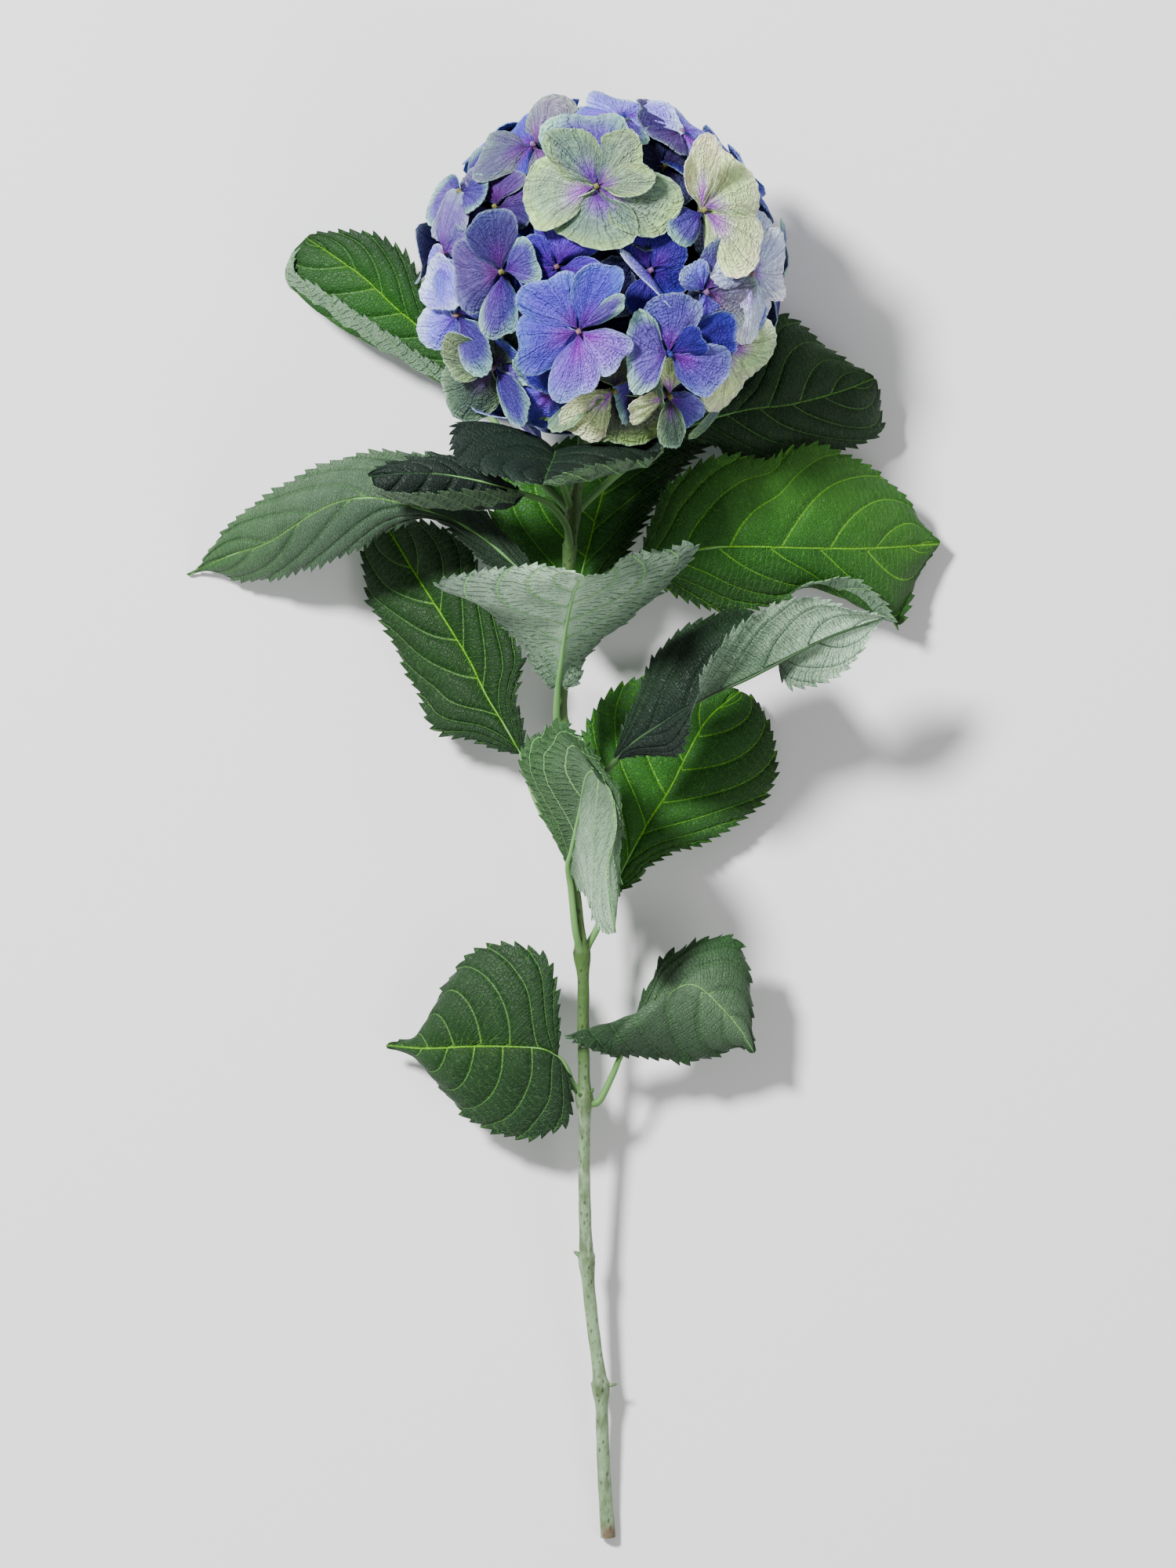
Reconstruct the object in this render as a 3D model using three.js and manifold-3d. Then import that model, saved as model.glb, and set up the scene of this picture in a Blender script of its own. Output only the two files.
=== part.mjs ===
// A cut hydrangea lying on a table: one woody stem, toothed leaves in opposite pairs and a mophead bloom.
// Millimetres, +Z up from the table, +Y along the stem towards the bloom.
// The origin is on the table, under the middle of the whole flower.
import * as THREE from "three";
import { mergeVertices } from "three/addons/utils/BufferGeometryUtils.js";
import Module from "manifold-3d";

const wasm = await Module();
wasm.setup();

// ---------------------------------------------------------------- driving dimensions, mm

const GAP = 0.3; // between pieces that grow on one another
const LEAF_THICK = 0.9;
const SEPAL_THICK = 0.8;
const STEM_SIDES = 8;
const PETIOLE_SIDES = 5;
const TEETH = 12; // on each side of a leaf
const TOOTH_DEPTH = 2.4;
const LEAF_PUFF = 0.07; // how far each half is puffed up between midrib and margin, against its width
const CUT_END_Y = -309; // the cut end of the stem
const CUT_END_Z = 3.4;
const STEM_RISE = 0.139; // the stem lies on its cut end and on the bloom, so it climbs this much per mm
const HEAD = new THREE.Vector3(17, 233, 72); // middle of the bloom
const CORE_RADIUS = 34; // the dense middle of the cyme, which the pedicels stand out of
const FLORET_REACH = 71; // from the middle of the bloom to the eye of a floret
const BLOOM_STRETCH = new THREE.Vector3(1.04, 0.99, 1); // the bloom is a little wider than it is long
const SEPAL_LENGTH = 27;
const EYE_RADIUS = 2.2; // the bud in the middle of a floret
const PEDICEL_RADIUS = 1.1;
const RESTING_FLORET = { reach: 79, size: 1.1, spin: 25 }; // the one that the bloom lies on
const RING_FLORETS = 64; // evenly spread over the whole ball before the placed ones take their room
const FLORET_SPACING = 0.56; // radians between two floret eyes
const DEGREE = Math.PI / 180;

// ---------------------------------------------------------------- places

const stemHeight = (y) => CUT_END_Z + STEM_RISE * (y - CUT_END_Y);
const onStem = (x, y) => new THREE.Vector3(x, y, stemHeight(y));
const vec = (list) => new THREE.Vector3(...list);

// The nodes of the stem, where leaf pairs grow or once grew.
const NODES = {
  scar: onStem(16.2, -244),
  stub: onStem(10.2, -189),
  low: onStem(9.2, -120),
  second: onStem(8.2, -58),
  third: onStem(3.5, -15),
  fourth: onStem(-0.8, 40),
  fifth: onStem(1.5, 95),
  sixth: onStem(3.2, 115),
  top: onStem(4.5, 130),
};

const STEM_AXIS = [
  onStem(19.5, CUT_END_Y),
  onStem(18, -288),
  onStem(17, -262),
  NODES.scar,
  onStem(13, -218),
  NODES.stub,
  onStem(9.3, -155),
  NODES.low,
  onStem(8.8, -88),
  NODES.second,
  NODES.third,
  onStem(0, 15),
  NODES.fourth,
  onStem(0.2, 65),
  NODES.fifth,
  NODES.top,
  onStem(7.5, 150),
  onStem(14.5, 206),
];

// Stem radius between the nodes, and how much each node swells.
const STEM_RADII = [
  [CUT_END_Y, 3.2],
  [-292, 2.8],
  [-160, 2.6],
  [-60, 2.4],
  [60, 2.4],
  [206, 2.5],
];
const NODE_SWELL = {
  scar: 1.3,
  stub: 0.9,
  low: 1.3,
  second: 1.3,
  third: 0.9,
  fourth: 0.9,
  fifth: 0.8,
  sixth: 0.6,
  top: 0.9,
};
const SWELL_LENGTH = 5.5;

// Small growths on the stem: old bud stubs and the buds in the leaf axils. way is their direction.
const BUDS = [
  { node: "stub", way: [-0.8, 0.55, 0.3], length: 7, radius: 1.5 },
  { node: "scar", way: [0.95, 0.2, 0.2], length: 7.5, radius: 1.1 },
  { node: "scar", way: [-0.9, 0.4, 0.1], length: 4.6, radius: 1.6 },
  { node: "low", way: [0.62, 0.75, 0.25], length: 6.5, radius: 1.5 },
  { node: "low", way: [-0.4, 0.5, 0.85], length: 6, radius: 1.4 },
  { node: "second", way: [0.1, 0.9, 0.45], length: 5.5, radius: 1.4 },
];

// Each leaf, as points on the curves that shape it: the petiole from its node, the midrib from the base
// of the blade to its tip, and the left and right margins between those two ends, seen from the upper side.
// A crease is the line along which the outer strip of a half turns over.
const LEAVES = [
  {
    name: "leaf_low_left",
    node: "low",
    petiole: [[4, -113, 31], [1.5, -106.5, 34]],
    midrib: [[-2, -101.5, 36], [-9, -98, 38], [-23, -97, 38], [-39, -97, 34], [-59, -98, 25], [-76, -97, 14]],
    left: [
      [3, -112, 35], [2, -127, 32], [-7, -133, 29], [-19, -135, 27], [-39, -128, 24], [-53, -114, 20],
      [-62, -102, 17.5],
    ],
    right: [
      [-2, -85, 37], [-6, -63, 36], [-16, -56, 34.5], [-29, -55, 32], [-42, -61, 28], [-54, -78, 23],
      [-62, -93, 18.5],
    ],
  },
  {
    name: "leaf_low_right",
    node: "low",
    petiole: [[15, -121, 30], [21, -110, 31]],
    midrib: [
      [24, -102, 32], [29, -93, 37], [37.5, -82, 43], [49, -72, 47], [57.5, -71, 48], [67.5, -80, 44],
      [76, -90, 38], [82, -100, 31],
    ],
    left: [
      [29, -92, 36], [33.5, -81, 37], [39, -70, 38], [44, -60, 37], [51.5, -56, 36], [61, -51.5, 36],
      [72.5, -51, 38], [78, -61.5, 38], [79.5, -75, 36], [80, -88, 34],
    ],
    right: [
      [16, -99, 37], [3.5, -93, 42], [9, -95, 44], [16, -97, 42], [27.5, -100, 37], [44, -102, 33],
      [54, -103, 32], [67.5, -99, 32], [76, -96.5, 32],
    ],
  },
  {
    name: "leaf_second_front",
    node: "second",
    petiole: [[5.5, -48, 44], [3.5, -30, 47]],
    midrib: [
      [3, -20, 50], [7.5, 2, 66], [11.5, 20, 84], [19, 15, 98], [22.5, -1.5, 105], [19, -21.5, 103],
      [22, -47.5, 94],
    ],
    left: [
      [-2.5, -10, 53], [-9, 3.5, 58], [-17.5, 22, 64], [-15, 33.5, 68], [-9, 36, 71], [-2, 41, 75],
      [7.5, 33.5, 84], [16, 23.5, 93], [23.5, 12, 99], [24.5, -6, 100], [24, -30, 97],
    ],
    right: [[6, -28, 55], [9, -31.5, 65], [11.5, -35, 76], [16, -45.5, 87]],
  },
  {
    name: "leaf_second_back",
    node: "second",
    petiole: [[14, -48, 34], [17.5, -40, 31]],
    midrib: [
      [21, -31.5, 28], [27.5, -18, 25], [37.5, 0, 22], [46, 13.5, 20], [53.5, 28.5, 18], [62.5, 43.5, 15],
      [76, 55, 10],
    ],
    left: [
      [17, -29, 27], [16, -18, 25], [17.5, -5, 22], [15, 15, 20], [10, 33.5, 19], [15, 47, 18],
      [22.5, 54.5, 17], [31.5, 59, 16], [47.5, 62, 15], [62.5, 60, 12],
    ],
    right: [
      [27.5, -29, 27], [33.5, -24, 25], [36, -20, 24], [46, -14, 22], [61, -9, 18], [75, 0, 15],
      [86, 10, 12], [90, 20, 10], [90, 32, 9], [87.5, 42, 9], [82.5, 51, 9],
    ],
  },
  {
    name: "leaf_third_left",
    node: "third",
    petiole: [[-9, 3.5, 40], [-15, 18.5, 35]],
    midrib: [
      [-18, 28, 32], [-26, 42, 30], [-33, 53.5, 28], [-40.5, 69, 26], [-52.5, 88.5, 22], [-65, 108, 17],
      [-73.5, 122, 13], [-81, 130, 10],
    ],
    left: [
      [-26, 30, 29], [-39, 35, 26], [-51, 37.5, 23], [-57, 42.5, 20], [-60, 52, 18], [-66, 62.5, 16],
      [-72.5, 78, 13], [-79, 89, 11], [-82.5, 95, 10], [-84, 105, 9], [-85, 116, 9],
    ],
    right: [
      [-16.5, 33.5, 33], [-18, 43.5, 33], [-20.5, 51, 33], [-19, 62, 33], [-18, 70, 33], [-26, 83.5, 31],
      [-34, 98.5, 28], [-37.5, 108.5, 26], [-42.5, 118.5, 23], [-54, 124.5, 19], [-66, 128, 14],
    ],
  },
  {
    name: "leaf_third_right",
    node: "third",
    petiole: [[12.5, 8.5, 50], [17.5, 18.5, 54]],
    midrib: [
      [22, 25, 57], [27.5, 31, 61], [39, 39, 67], [51, 47, 73], [62.5, 53.5, 77], [77.5, 60, 81],
      [97.5, 70, 84], [114, 78, 82], [137, 86, 76],
    ],
    left: [
      [22.5, 28, 57], [27.5, 42, 60], [36, 62, 62], [41.5, 72, 62], [54, 82, 62], [71, 87.5, 62],
      [80, 86, 63], [89, 72, 69], [96, 57.5, 75], [114, 60.5, 77], [125, 70, 77], [131, 80, 76],
    ],
    right: [
      [31, 28, 60], [48, 28, 67], [52.5, 38.5, 78], [59, 58.5, 91], [67.5, 72, 95], [79, 83, 95],
      [89, 88.5, 93], [104, 93, 91], [121, 89, 86], [129, 87.5, 81],
    ],
  },
  {
    name: "leaf_fourth_front",
    node: "fourth",
    petiole: [[-2.5, 43, 56], [-2.5, 50, 60]],
    midrib: [
      [-2, 58, 64], [-0.5, 68.5, 76], [1, 78.5, 90], [2.5, 87, 105], [4.5, 95, 122], [7, 100, 138],
      [10, 102, 150],
    ],
    left: [
      [-5, 56, 65], [-9, 60, 68], [-12.5, 65, 71], [-16, 72, 76], [-26, 83.5, 85], [-39, 94.5, 93],
      [-51.5, 98, 101], [-49, 101, 109], [-32.5, 103.5, 121], [-12.5, 106, 134], [-1, 105, 143],
    ],
    right: [
      [1.5, 56, 65], [7, 59, 68], [9, 67, 71], [15, 75, 77], [27.5, 85, 85], [41, 97, 93], [51, 107, 99],
      [56, 115, 104], [41, 112, 113], [27.5, 110, 124], [19, 103.5, 138],
    ],
  },
  {
    name: "leaf_fourth_back",
    node: "fourth",
    petiole: [[0.5, 52, 46], [2, 68, 43]],
    midrib: [
      [3.5, 82, 42], [6, 93.5, 40], [8, 105, 38], [11.5, 118.5, 37], [15, 132, 35], [19, 145, 33],
      [26, 157, 29], [44, 167, 23],
    ],
    left: [
      [-1, 82, 42], [-9, 92, 40], [-19, 105, 38], [-26, 118.5, 36], [-29, 132, 35], [-24, 145, 34],
      [-9, 157, 31], [14, 165, 27],
    ],
    right: [
      [9, 83.5, 41], [19, 95, 39], [22.5, 107, 38], [28, 117, 37], [33.5, 127, 35], [41.5, 139, 32],
      [51.5, 152, 28], [62.5, 162, 23], [57.5, 166, 22],
    ],
  },
  {
    name: "leaf_fifth_left",
    node: "fifth",
    petiole: [[-6, 99.5, 60]],
    midrib: [
      [-15, 103.5, 61], [-26, 113.5, 65], [-39, 123.5, 70], [-52.5, 129.5, 73], [-69, 134.5, 73],
      [-82.5, 137, 69], [-96, 135, 62], [-109, 129, 52], [-126, 118.5, 36], [-142.5, 113.5, 19],
      [-162, 105.5, 0.8],
    ],
    left: [
      [-22.5, 103.5, 60], [-32.5, 110, 62], [-42.5, 118.5, 67], [-47.5, 124.5, 70], [-59, 128, 70],
      [-72.5, 124.5, 65], [-86, 117.5, 56], [-99, 112, 46], [-112.5, 108, 34], [-126, 104, 21],
      [-140, 103.5, 10], [-152, 107, 4],
    ],
    right: [
      [-14, 108.5, 59], [-22.5, 118.5, 60], [-32.5, 130, 60], [-39, 140, 59], [-49, 150, 58],
      [-59, 155, 58], [-72.5, 156, 57], [-89, 154, 54], [-106, 148, 48], [-122.5, 139, 38],
      [-139, 128.5, 26], [-152, 115, 12], [-156, 108.5, 6],
    ],
  },
  {
    name: "leaf_fifth_right",
    node: "fifth",
    petiole: [[14, 100, 58]],
    midrib: [
      [27.5, 108, 57], [41, 111, 57], [55, 114, 56], [62.5, 116, 55], [81, 116.5, 52], [104, 116, 45],
      [127.5, 116, 34], [144, 117, 23], [162, 118.5, 11],
    ],
    left: [
      [28, 110, 56], [34, 115, 56], [38, 127, 54], [44, 140, 51], [51, 146, 49], [61, 152, 47],
      [74, 154, 45], [87.5, 152, 43], [97.5, 157, 39], [109, 159, 35], [121, 155, 31], [134, 148.5, 25],
      [147.5, 137, 19], [154, 127, 15],
    ],
    right: [
      [31, 106, 56], [42.5, 99.5, 53], [54, 94, 49], [67.5, 90, 45], [81, 91, 42], [94, 94.5, 39],
      [107, 100, 41], [122, 101.5, 40], [131.5, 97.5, 35], [139, 89, 27], [143.5, 83.5, 19],
      [147.5, 91, 16], [151.5, 102, 14], [156, 111, 12],
    ],
    rightCrease: [
      [36, 106, 55], [54, 99, 50], [74, 95, 45], [94, 96.5, 39], [107.5, 98, 33], [127.5, 89, 24],
      [141, 84, 17], [147, 95, 16], [155, 110, 13],
    ],
  },
  {
    name: "leaf_sixth_front",
    node: "sixth",
    petiole: [[1.5, 125, 72], [-6, 134, 80]],
    midrib: [
      [-16, 138, 86], [-26, 141, 90], [-39, 144, 94], [-52.5, 146, 97], [-66, 146.5, 98], [-82, 145, 96],
    ],
    left: [
      [-26, 138.5, 95], [-39, 137.5, 101], [-56, 137.5, 104], [-72.5, 138, 104], [-79, 140, 100],
    ],
    leftCrease: [[-22.5, 131, 86], [-39, 130, 88], [-56, 131, 90], [-69, 133.5, 92], [-79, 138, 95]],
    right: [
      [-26, 144, 88], [-39, 148.5, 89], [-47.5, 153.5, 88], [-59, 153.5, 90], [-71, 151, 93],
      [-77.5, 148.5, 95],
    ],
  },
  {
    name: "leaf_top_front",
    node: "top",
    petiole: [[1, 140, 70], [-2, 149, 76]],
    midrib: [[-3, 154, 84], [-3, 156, 98], [-4, 152, 112], [-6, 147, 124], [-8, 141, 136]],
    left: [
      [10, 155, 82], [27.5, 160, 86], [43.5, 168, 96], [44, 160, 104], [40, 153, 112], [36, 150, 120],
      [27.5, 149.5, 128], [14, 148, 136], [1, 145, 141],
    ],
    leftCrease: [
      [12, 153.5, 84], [30, 155, 92], [41, 153, 104], [37.5, 148, 114], [27.5, 145, 122], [14, 142, 130],
      [1, 140, 136],
    ],
    right: [
      [-12, 157, 84], [-26, 165, 92], [-39, 168.5, 100], [-45, 164.5, 106], [-45, 157, 113],
      [-42.5, 151, 120], [-36, 147, 127], [-26, 144, 133], [-16, 142, 138],
    ],
  },
  {
    name: "leaf_top_left",
    node: "top",
    petiole: [[-12, 147, 54], [-27, 167, 41]],
    midrib: [
      [-38, 183, 34], [-47.5, 197, 32], [-59, 208.5, 31], [-72.5, 220, 31], [-84, 231, 30],
      [-96, 240, 27], [-110, 249.5, 22],
    ],
    left: [
      [-48, 190, 34], [-60, 197, 36], [-72, 206, 37], [-88, 216, 35], [-103, 225, 31], [-116, 234, 25],
      [-115, 242, 22],
    ],
    leftCrease: [
      [-50, 185, 31], [-60, 190, 29], [-70, 196, 27], [-90, 206, 24], [-108, 218, 20], [-120, 231, 17],
      [-117, 242, 19],
    ],
    right: [
      [-42, 195, 32], [-50, 206, 32], [-56, 218, 33], [-61, 230, 34], [-66, 239, 34], [-73, 245, 33],
      [-82.5, 250, 31], [-96, 251, 27], [-105, 251, 24],
    ],
  },
  {
    name: "leaf_top_right",
    node: "top",
    petiole: [[22, 146, 56], [37, 157.5, 47]],
    midrib: [
      [47, 164.5, 42], [54, 168, 40], [66, 172, 39], [81, 175.5, 38], [95, 177, 36], [108, 180, 33],
      [121, 184, 29], [133.5, 189, 24],
    ],
    left: [
      [48, 167.5, 39], [54, 175, 34], [61, 182, 31], [71, 188.5, 32], [81, 193.5, 34], [86, 205, 34],
      [91.5, 214.5, 33], [101, 211.5, 31], [110, 204, 29], [120.5, 196.5, 27], [129, 192, 25],
    ],
    right: [
      [50, 163, 41], [57.5, 162, 40], [66, 160, 38], [74, 154, 35], [87.5, 151, 31], [97.5, 153, 28],
      [108, 157, 25], [127, 161.5, 20], [135.5, 166, 19], [136, 175, 20], [135, 183.5, 22],
    ],
  },
];

// The florets that show from above: x and y of the eye from the middle of the bloom, reach from that middle,
// and lean, how far the floret turns from straight out towards the sky. Each sepal is [angle, length, width,
// lift], with angles in degrees.
const PLACED_FLORETS = [
  {
    x: -2.7, y: 32, reach: 76, lean: 0.75,
    sepals: [[122, 28, 23, 12], [54, 28, 22, 14], [12, 25, 15, 16], [184, 31, 31, -4], [340, 34, 31, -6],
      [266, 23, 42, -10]],
  },
  {
    x: -42, y: -3, reach: 73, lean: 0.5,
    sepals: [[107, 28, 23, 10], [185, 25, 31, 4], [25, 20, 20, 12], [262, 28, 18, 2]],
  },
  {
    x: -10, y: -28, reach: 77, lean: 0.6,
    sepals: [[130, 30, 27, 10], [70, 32, 20, 12], [195, 29, 25, 2], [266, 30, 21, 8], [322, 25, 19, -4]],
  },
  {
    x: 28, y: -37, reach: 75, lean: 0.5,
    sepals: [[84, 26, 25, 12], [180, 18, 38, 2], [332, 28, 23, 4], [12, 33, 19, -8]],
  },
  {
    x: 42, y: 23, reach: 74, lean: 0.35,
    sepals: [[45, 32, 36, 2], [332, 33, 30, -6], [108, 32, 16, 40], [222, 18, 18, 4]],
  },
  {
    x: 43, y: -11, reach: 69, lean: 0.3,
    sepals: [[350, 24, 26, 2], [52, 26, 24, 6], [128, 16, 15, 20], [288, 21, 22, -4]],
  },
  {
    x: 20, y: -2, reach: 58, lean: 0.3,
    sepals: [[115, 22, 20, 12], [60, 22, 18, 20], [255, 21, 18, 8], [340, 17, 16, 4]],
  },
  {
    x: -19, y: -1, reach: 58, lean: 0.4,
    sepals: [[70, 25, 26, 8], [150, 19, 17, 4], [250, 18, 18, 0], [340, 20, 18, 4]],
  },
  {
    x: -29, y: 51, reach: 71, lean: 0.25,
    sepals: [[176, 28, 29, 6], [62, 28, 28, 2], [290, 18, 18, 0], [118, 25, 22, -12]],
  },
  {
    x: 8, y: 63, reach: 73, lean: 0.1,
    sepals: [[95, 24, 26, -4], [20, 25, 26, 8], [180, 20, 22, 4], [280, 18, 20, 10]],
  },
  {
    x: 33, y: 57, reach: 74, lean: 0,
    sepals: [[60, 26, 28, 4], [150, 24, 24, 0], [330, 22, 22, 4], [240, 18, 20, 8]],
  },
  {
    x: -60, y: 32, reach: 74, lean: 0.1,
    sepals: [[150, 26, 22, 4], [40, 26, 12, 24], [235, 24, 26, 2], [320, 22, 14, 20]],
  },
  {
    x: -67, y: 6, reach: 76, lean: 0.1,
    sepals: [[100, 26, 25, 0], [200, 28, 27, 2], [285, 26, 24, 4], [15, 18, 18, 4]],
  },
  {
    x: -61, y: -20, reach: 75, lean: 0.15,
    sepals: [[130, 26, 26, 0], [220, 28, 26, 0], [310, 26, 22, 4], [40, 20, 18, 0]],
  },
  {
    x: -46, y: -42, reach: 71, lean: 0.45,
    sepals: [[165, 22, 25, 12], [228, 32, 30, -6], [60, 18, 18, 0], [318, 27, 15, 20]],
  },
  { x: -20, y: -51, reach: 70, lean: 0.2, sepals: [[235, 26, 24, 6], [325, 24, 20, 0], [140, 20, 18, 0]] },
  { x: 5, y: -52, reach: 71, lean: 0.4, sepals: [[228, 28, 24, -4], [288, 28, 38, 0], [90, 16, 18, 4]] },
  {
    x: 28, y: -54, reach: 74, lean: 0.3,
    sepals: [[264, 25, 12, 40], [305, 22, 16, 0], [196, 22, 12, 20], [80, 18, 18, 0]],
  },
  {
    x: 51, y: -34, reach: 72, lean: 0.35,
    sepals: [[345, 28, 30, 0], [50, 24, 24, 0], [285, 27, 28, -4], [140, 16, 16, 0]],
  },
  {
    x: 62, y: -3, reach: 75, lean: 0.2,
    sepals: [[10, 24, 30, 4], [78, 28, 30, 0], [285, 28, 28, 0], [170, 18, 18, 0]],
  },
];

// ---------------------------------------------------------------- small helpers

const lerp = (a, b, t) => a + (b - a) * t;
const ramp = (a, b, x) => {
  const t = Math.min(1, Math.max(0, (x - a) / (b - a)));
  return t * t * (3 - 2 * t);
};
// A repeatable number from 0 to 1 for each whole number and salt.
const chance = (index, salt) => {
  const value = Math.sin(index * 12.9898 + salt * 78.233) * 43758.5453;
  return value - Math.floor(value);
};
const tableValue = (table, y) => {
  const after = table.findIndex(([at]) => at >= y);
  if (after <= 0) return after < 0 ? table.at(-1)[1] : table[0][1];
  const [y0, r0] = table[after - 1];
  const [y1, r1] = table[after];
  return lerp(r0, r1, (y - y0) / (y1 - y0));
};

// A smooth curve through points, walked by its length: at(u) gives place and tangent for u from 0 to 1.
function smoothPath(points) {
  const spans = points.length - 1;
  const curve = new THREE.CatmullRomCurve3(points, false, "catmullrom", 0.5);
  const steps = 40 * spans;
  const dense = curve.getPoints(steps);
  const run = [0];
  for (let i = 1; i <= steps; i++) run.push(run[i - 1] + dense[i].distanceTo(dense[i - 1]));
  const total = run[steps];
  const place = (u) => {
    const want = Math.min(1, Math.max(0, u)) * total;
    let i = 1;
    while (i < steps && run[i] < want) i++;
    return dense[i - 1].clone().lerp(dense[i], (want - run[i - 1]) / (run[i] - run[i - 1]));
  };
  return {
    total,
    shareAt: (index) => run[index * 40] / total,
    place,
    tangent: (u) => {
      const step = 0.01;
      return place(Math.min(1, u + step)).sub(place(Math.max(0, u - step))).normalize();
    },
  };
}

// The manifold-3d solid of a closed indexed mesh.
function solid(points, triangles) {
  const vertProperties = new Float32Array(points.flatMap((p) => [p.x, p.y, p.z]));
  const triVerts = new Uint32Array(triangles.flat());
  const made = new wasm.Manifold(new wasm.Mesh({ numProp: 3, vertProperties, triVerts }));
  if (made.volume() <= 0) throw new Error("a piece is inside out");
  return made;
}

// The solid of one of three.js's own geometries.
function solidOfGeometry(geometry) {
  geometry.deleteAttribute("normal");
  geometry.deleteAttribute("uv");
  const merged = mergeVertices(geometry, 1e-4);
  const vertProperties = merged.attributes.position.array;
  const triVerts = new Uint32Array(merged.index.array);
  return new wasm.Manifold(new wasm.Mesh({ numProp: 3, vertProperties, triVerts }));
}

// Pieces joined into one body; the closed pockets that crossing blades leave between them are filled.
function union(solids) {
  const whole = solids.reduce((sum, next) => sum.add(next));
  const shells = whole.decompose().sort((a, b) => b.volume() - a.volume());
  if (shells[1]?.volume() > 1) throw new Error("a piece hangs loose");
  return shells[0];
}

// A thin blade of even thickness round a sheet of triangles: both faces split alike, and a rim between them.
function thicken(points, triangles, thickness) {
  const normals = points.map(() => new THREE.Vector3());
  for (const [a, b, c] of triangles) {
    const normal = points[b].clone().sub(points[a]).cross(points[c].clone().sub(points[a]));
    for (const corner of [a, b, c]) normals[corner].add(normal);
  }
  normals.forEach((n) => n.normalize().multiplyScalar(thickness / 2));
  const shift = points.length;
  const front = points.map((p, i) => p.clone().add(normals[i]));
  const back = points.map((p, i) => p.clone().sub(normals[i]));
  const backTriangles = triangles.map(([a, b, c]) => [c + shift, b + shift, a + shift]);
  const open = new Map();
  for (const [a, b, c] of triangles)
    for (const [from, to] of [[a, b], [b, c], [c, a]])
      if (!open.delete(`${to},${from}`)) open.set(`${from},${to}`, [from, to]);
  const rim = [...open.values()].flatMap(([a, b]) => [[b, a, a + shift], [b, a + shift, b + shift]]);
  return solid([...front, ...back], [...triangles, ...backTriangles, ...rim]);
}

// A round rod along a path; radius(u) is its radius, and flat the way its first side looks.
function rod(path, radius, sides, rings, flat, from = 0, to = 1) {
  const points = [];
  for (let i = 0; i <= rings; i++) {
    const u = lerp(from, to, i / rings);
    const tangent = path.tangent(u);
    const side = tangent.clone().cross(flat).normalize();
    const up = side.clone().cross(tangent);
    for (let k = 0; k < sides; k++) {
      const turn = (2 * Math.PI * k) / sides;
      const spoke = side.clone().multiplyScalar(Math.cos(turn)).addScaledVector(up, Math.sin(turn));
      points.push(path.place(u).addScaledVector(spoke, radius(u)));
    }
  }
  const triangles = [];
  for (let k = 0; k < sides; k++) {
    const next = (k + 1) % sides;
    for (let i = 0; i < rings; i++) {
      const a = i * sides;
      triangles.push([a + k, a + sides + k, a + sides + next], [a + k, a + sides + next, a + next]);
    }
    const last = rings * sides;
    if (k > 0 && k < sides - 1) triangles.push([0, k, next], [last, last + next, last + k]);
  }
  return solid(points, triangles);
}

// ---------------------------------------------------------------- the stem

const stemPath = smoothPath(STEM_AXIS);
const stemY = (u) => stemPath.place(u).y;

function stemRadius(y) {
  let radius = tableValue(STEM_RADII, y);
  for (const [name, swell] of Object.entries(NODE_SWELL))
    radius += swell * Math.exp(-(((y - NODES[name].y) / SWELL_LENGTH) ** 2));
  return radius;
}

// Rings close together round each node and wide apart between them.
function stemRings() {
  const steps = [0];
  while (steps.at(-1) < 1) {
    const here = stemY(steps.at(-1));
    const nearest = Math.min(...Object.values(NODES).map((n) => Math.abs(n.y - here - 3)));
    steps.push(Math.min(1, steps.at(-1) + (nearest < 8 ? 4.5 : 22) / stemPath.total));
  }
  return steps;
}

function stemSolid(extra) {
  const steps = stemRings();
  const at = (t) => steps[Math.round(t * (steps.length - 1))];
  const warped = { place: (t) => stemPath.place(at(t)), tangent: (t) => stemPath.tangent(at(t)) };
  const radius = (t) => stemRadius(stemY(at(t))) + extra;
  return rod(warped, radius, STEM_SIDES, steps.length - 1, new THREE.Vector3(0, 0, 1));
}

function bud({ node, way, length, radius }) {
  const start = NODES[node].clone();
  const path = smoothPath([start, start.clone().addScaledVector(vec(way).normalize(), length)]);
  return rod(path, (u) => radius * (1 - 0.75 * u * u), PETIOLE_SIDES, 2, new THREE.Vector3(0, 0.3, 1));
}

// ---------------------------------------------------------------- leaves

// The columns of points across a half, from the midrib out: each gives a point for a share of the length.
function halfColumns(leaf, midrib, name) {
  const ends = [leaf.midrib[0], leaf.midrib.at(-1)].map(vec);
  const edgePath = (points) => smoothPath([ends[0], ...points.map(vec), ends[1]]);
  const margin = edgePath(leaf[name]);
  const crease = leaf[`${name}Crease`] && edgePath(leaf[`${name}Crease`]);
  const inner = (crease ?? margin).place;
  const puffed = (share) => {
    const [from, to] = [midrib.place(share), inner(share)];
    const across = to.clone().sub(from);
    const up = midrib.tangent(share).cross(across).multiplyScalar(name === "left" ? 1 : -1);
    return from.lerp(to, 0.5).addScaledVector(up.normalize(), LEAF_PUFF * across.length());
  };
  return { margin, columns: [midrib.place, puffed, ...(crease ? [crease.place] : []), margin.place] };
}

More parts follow.
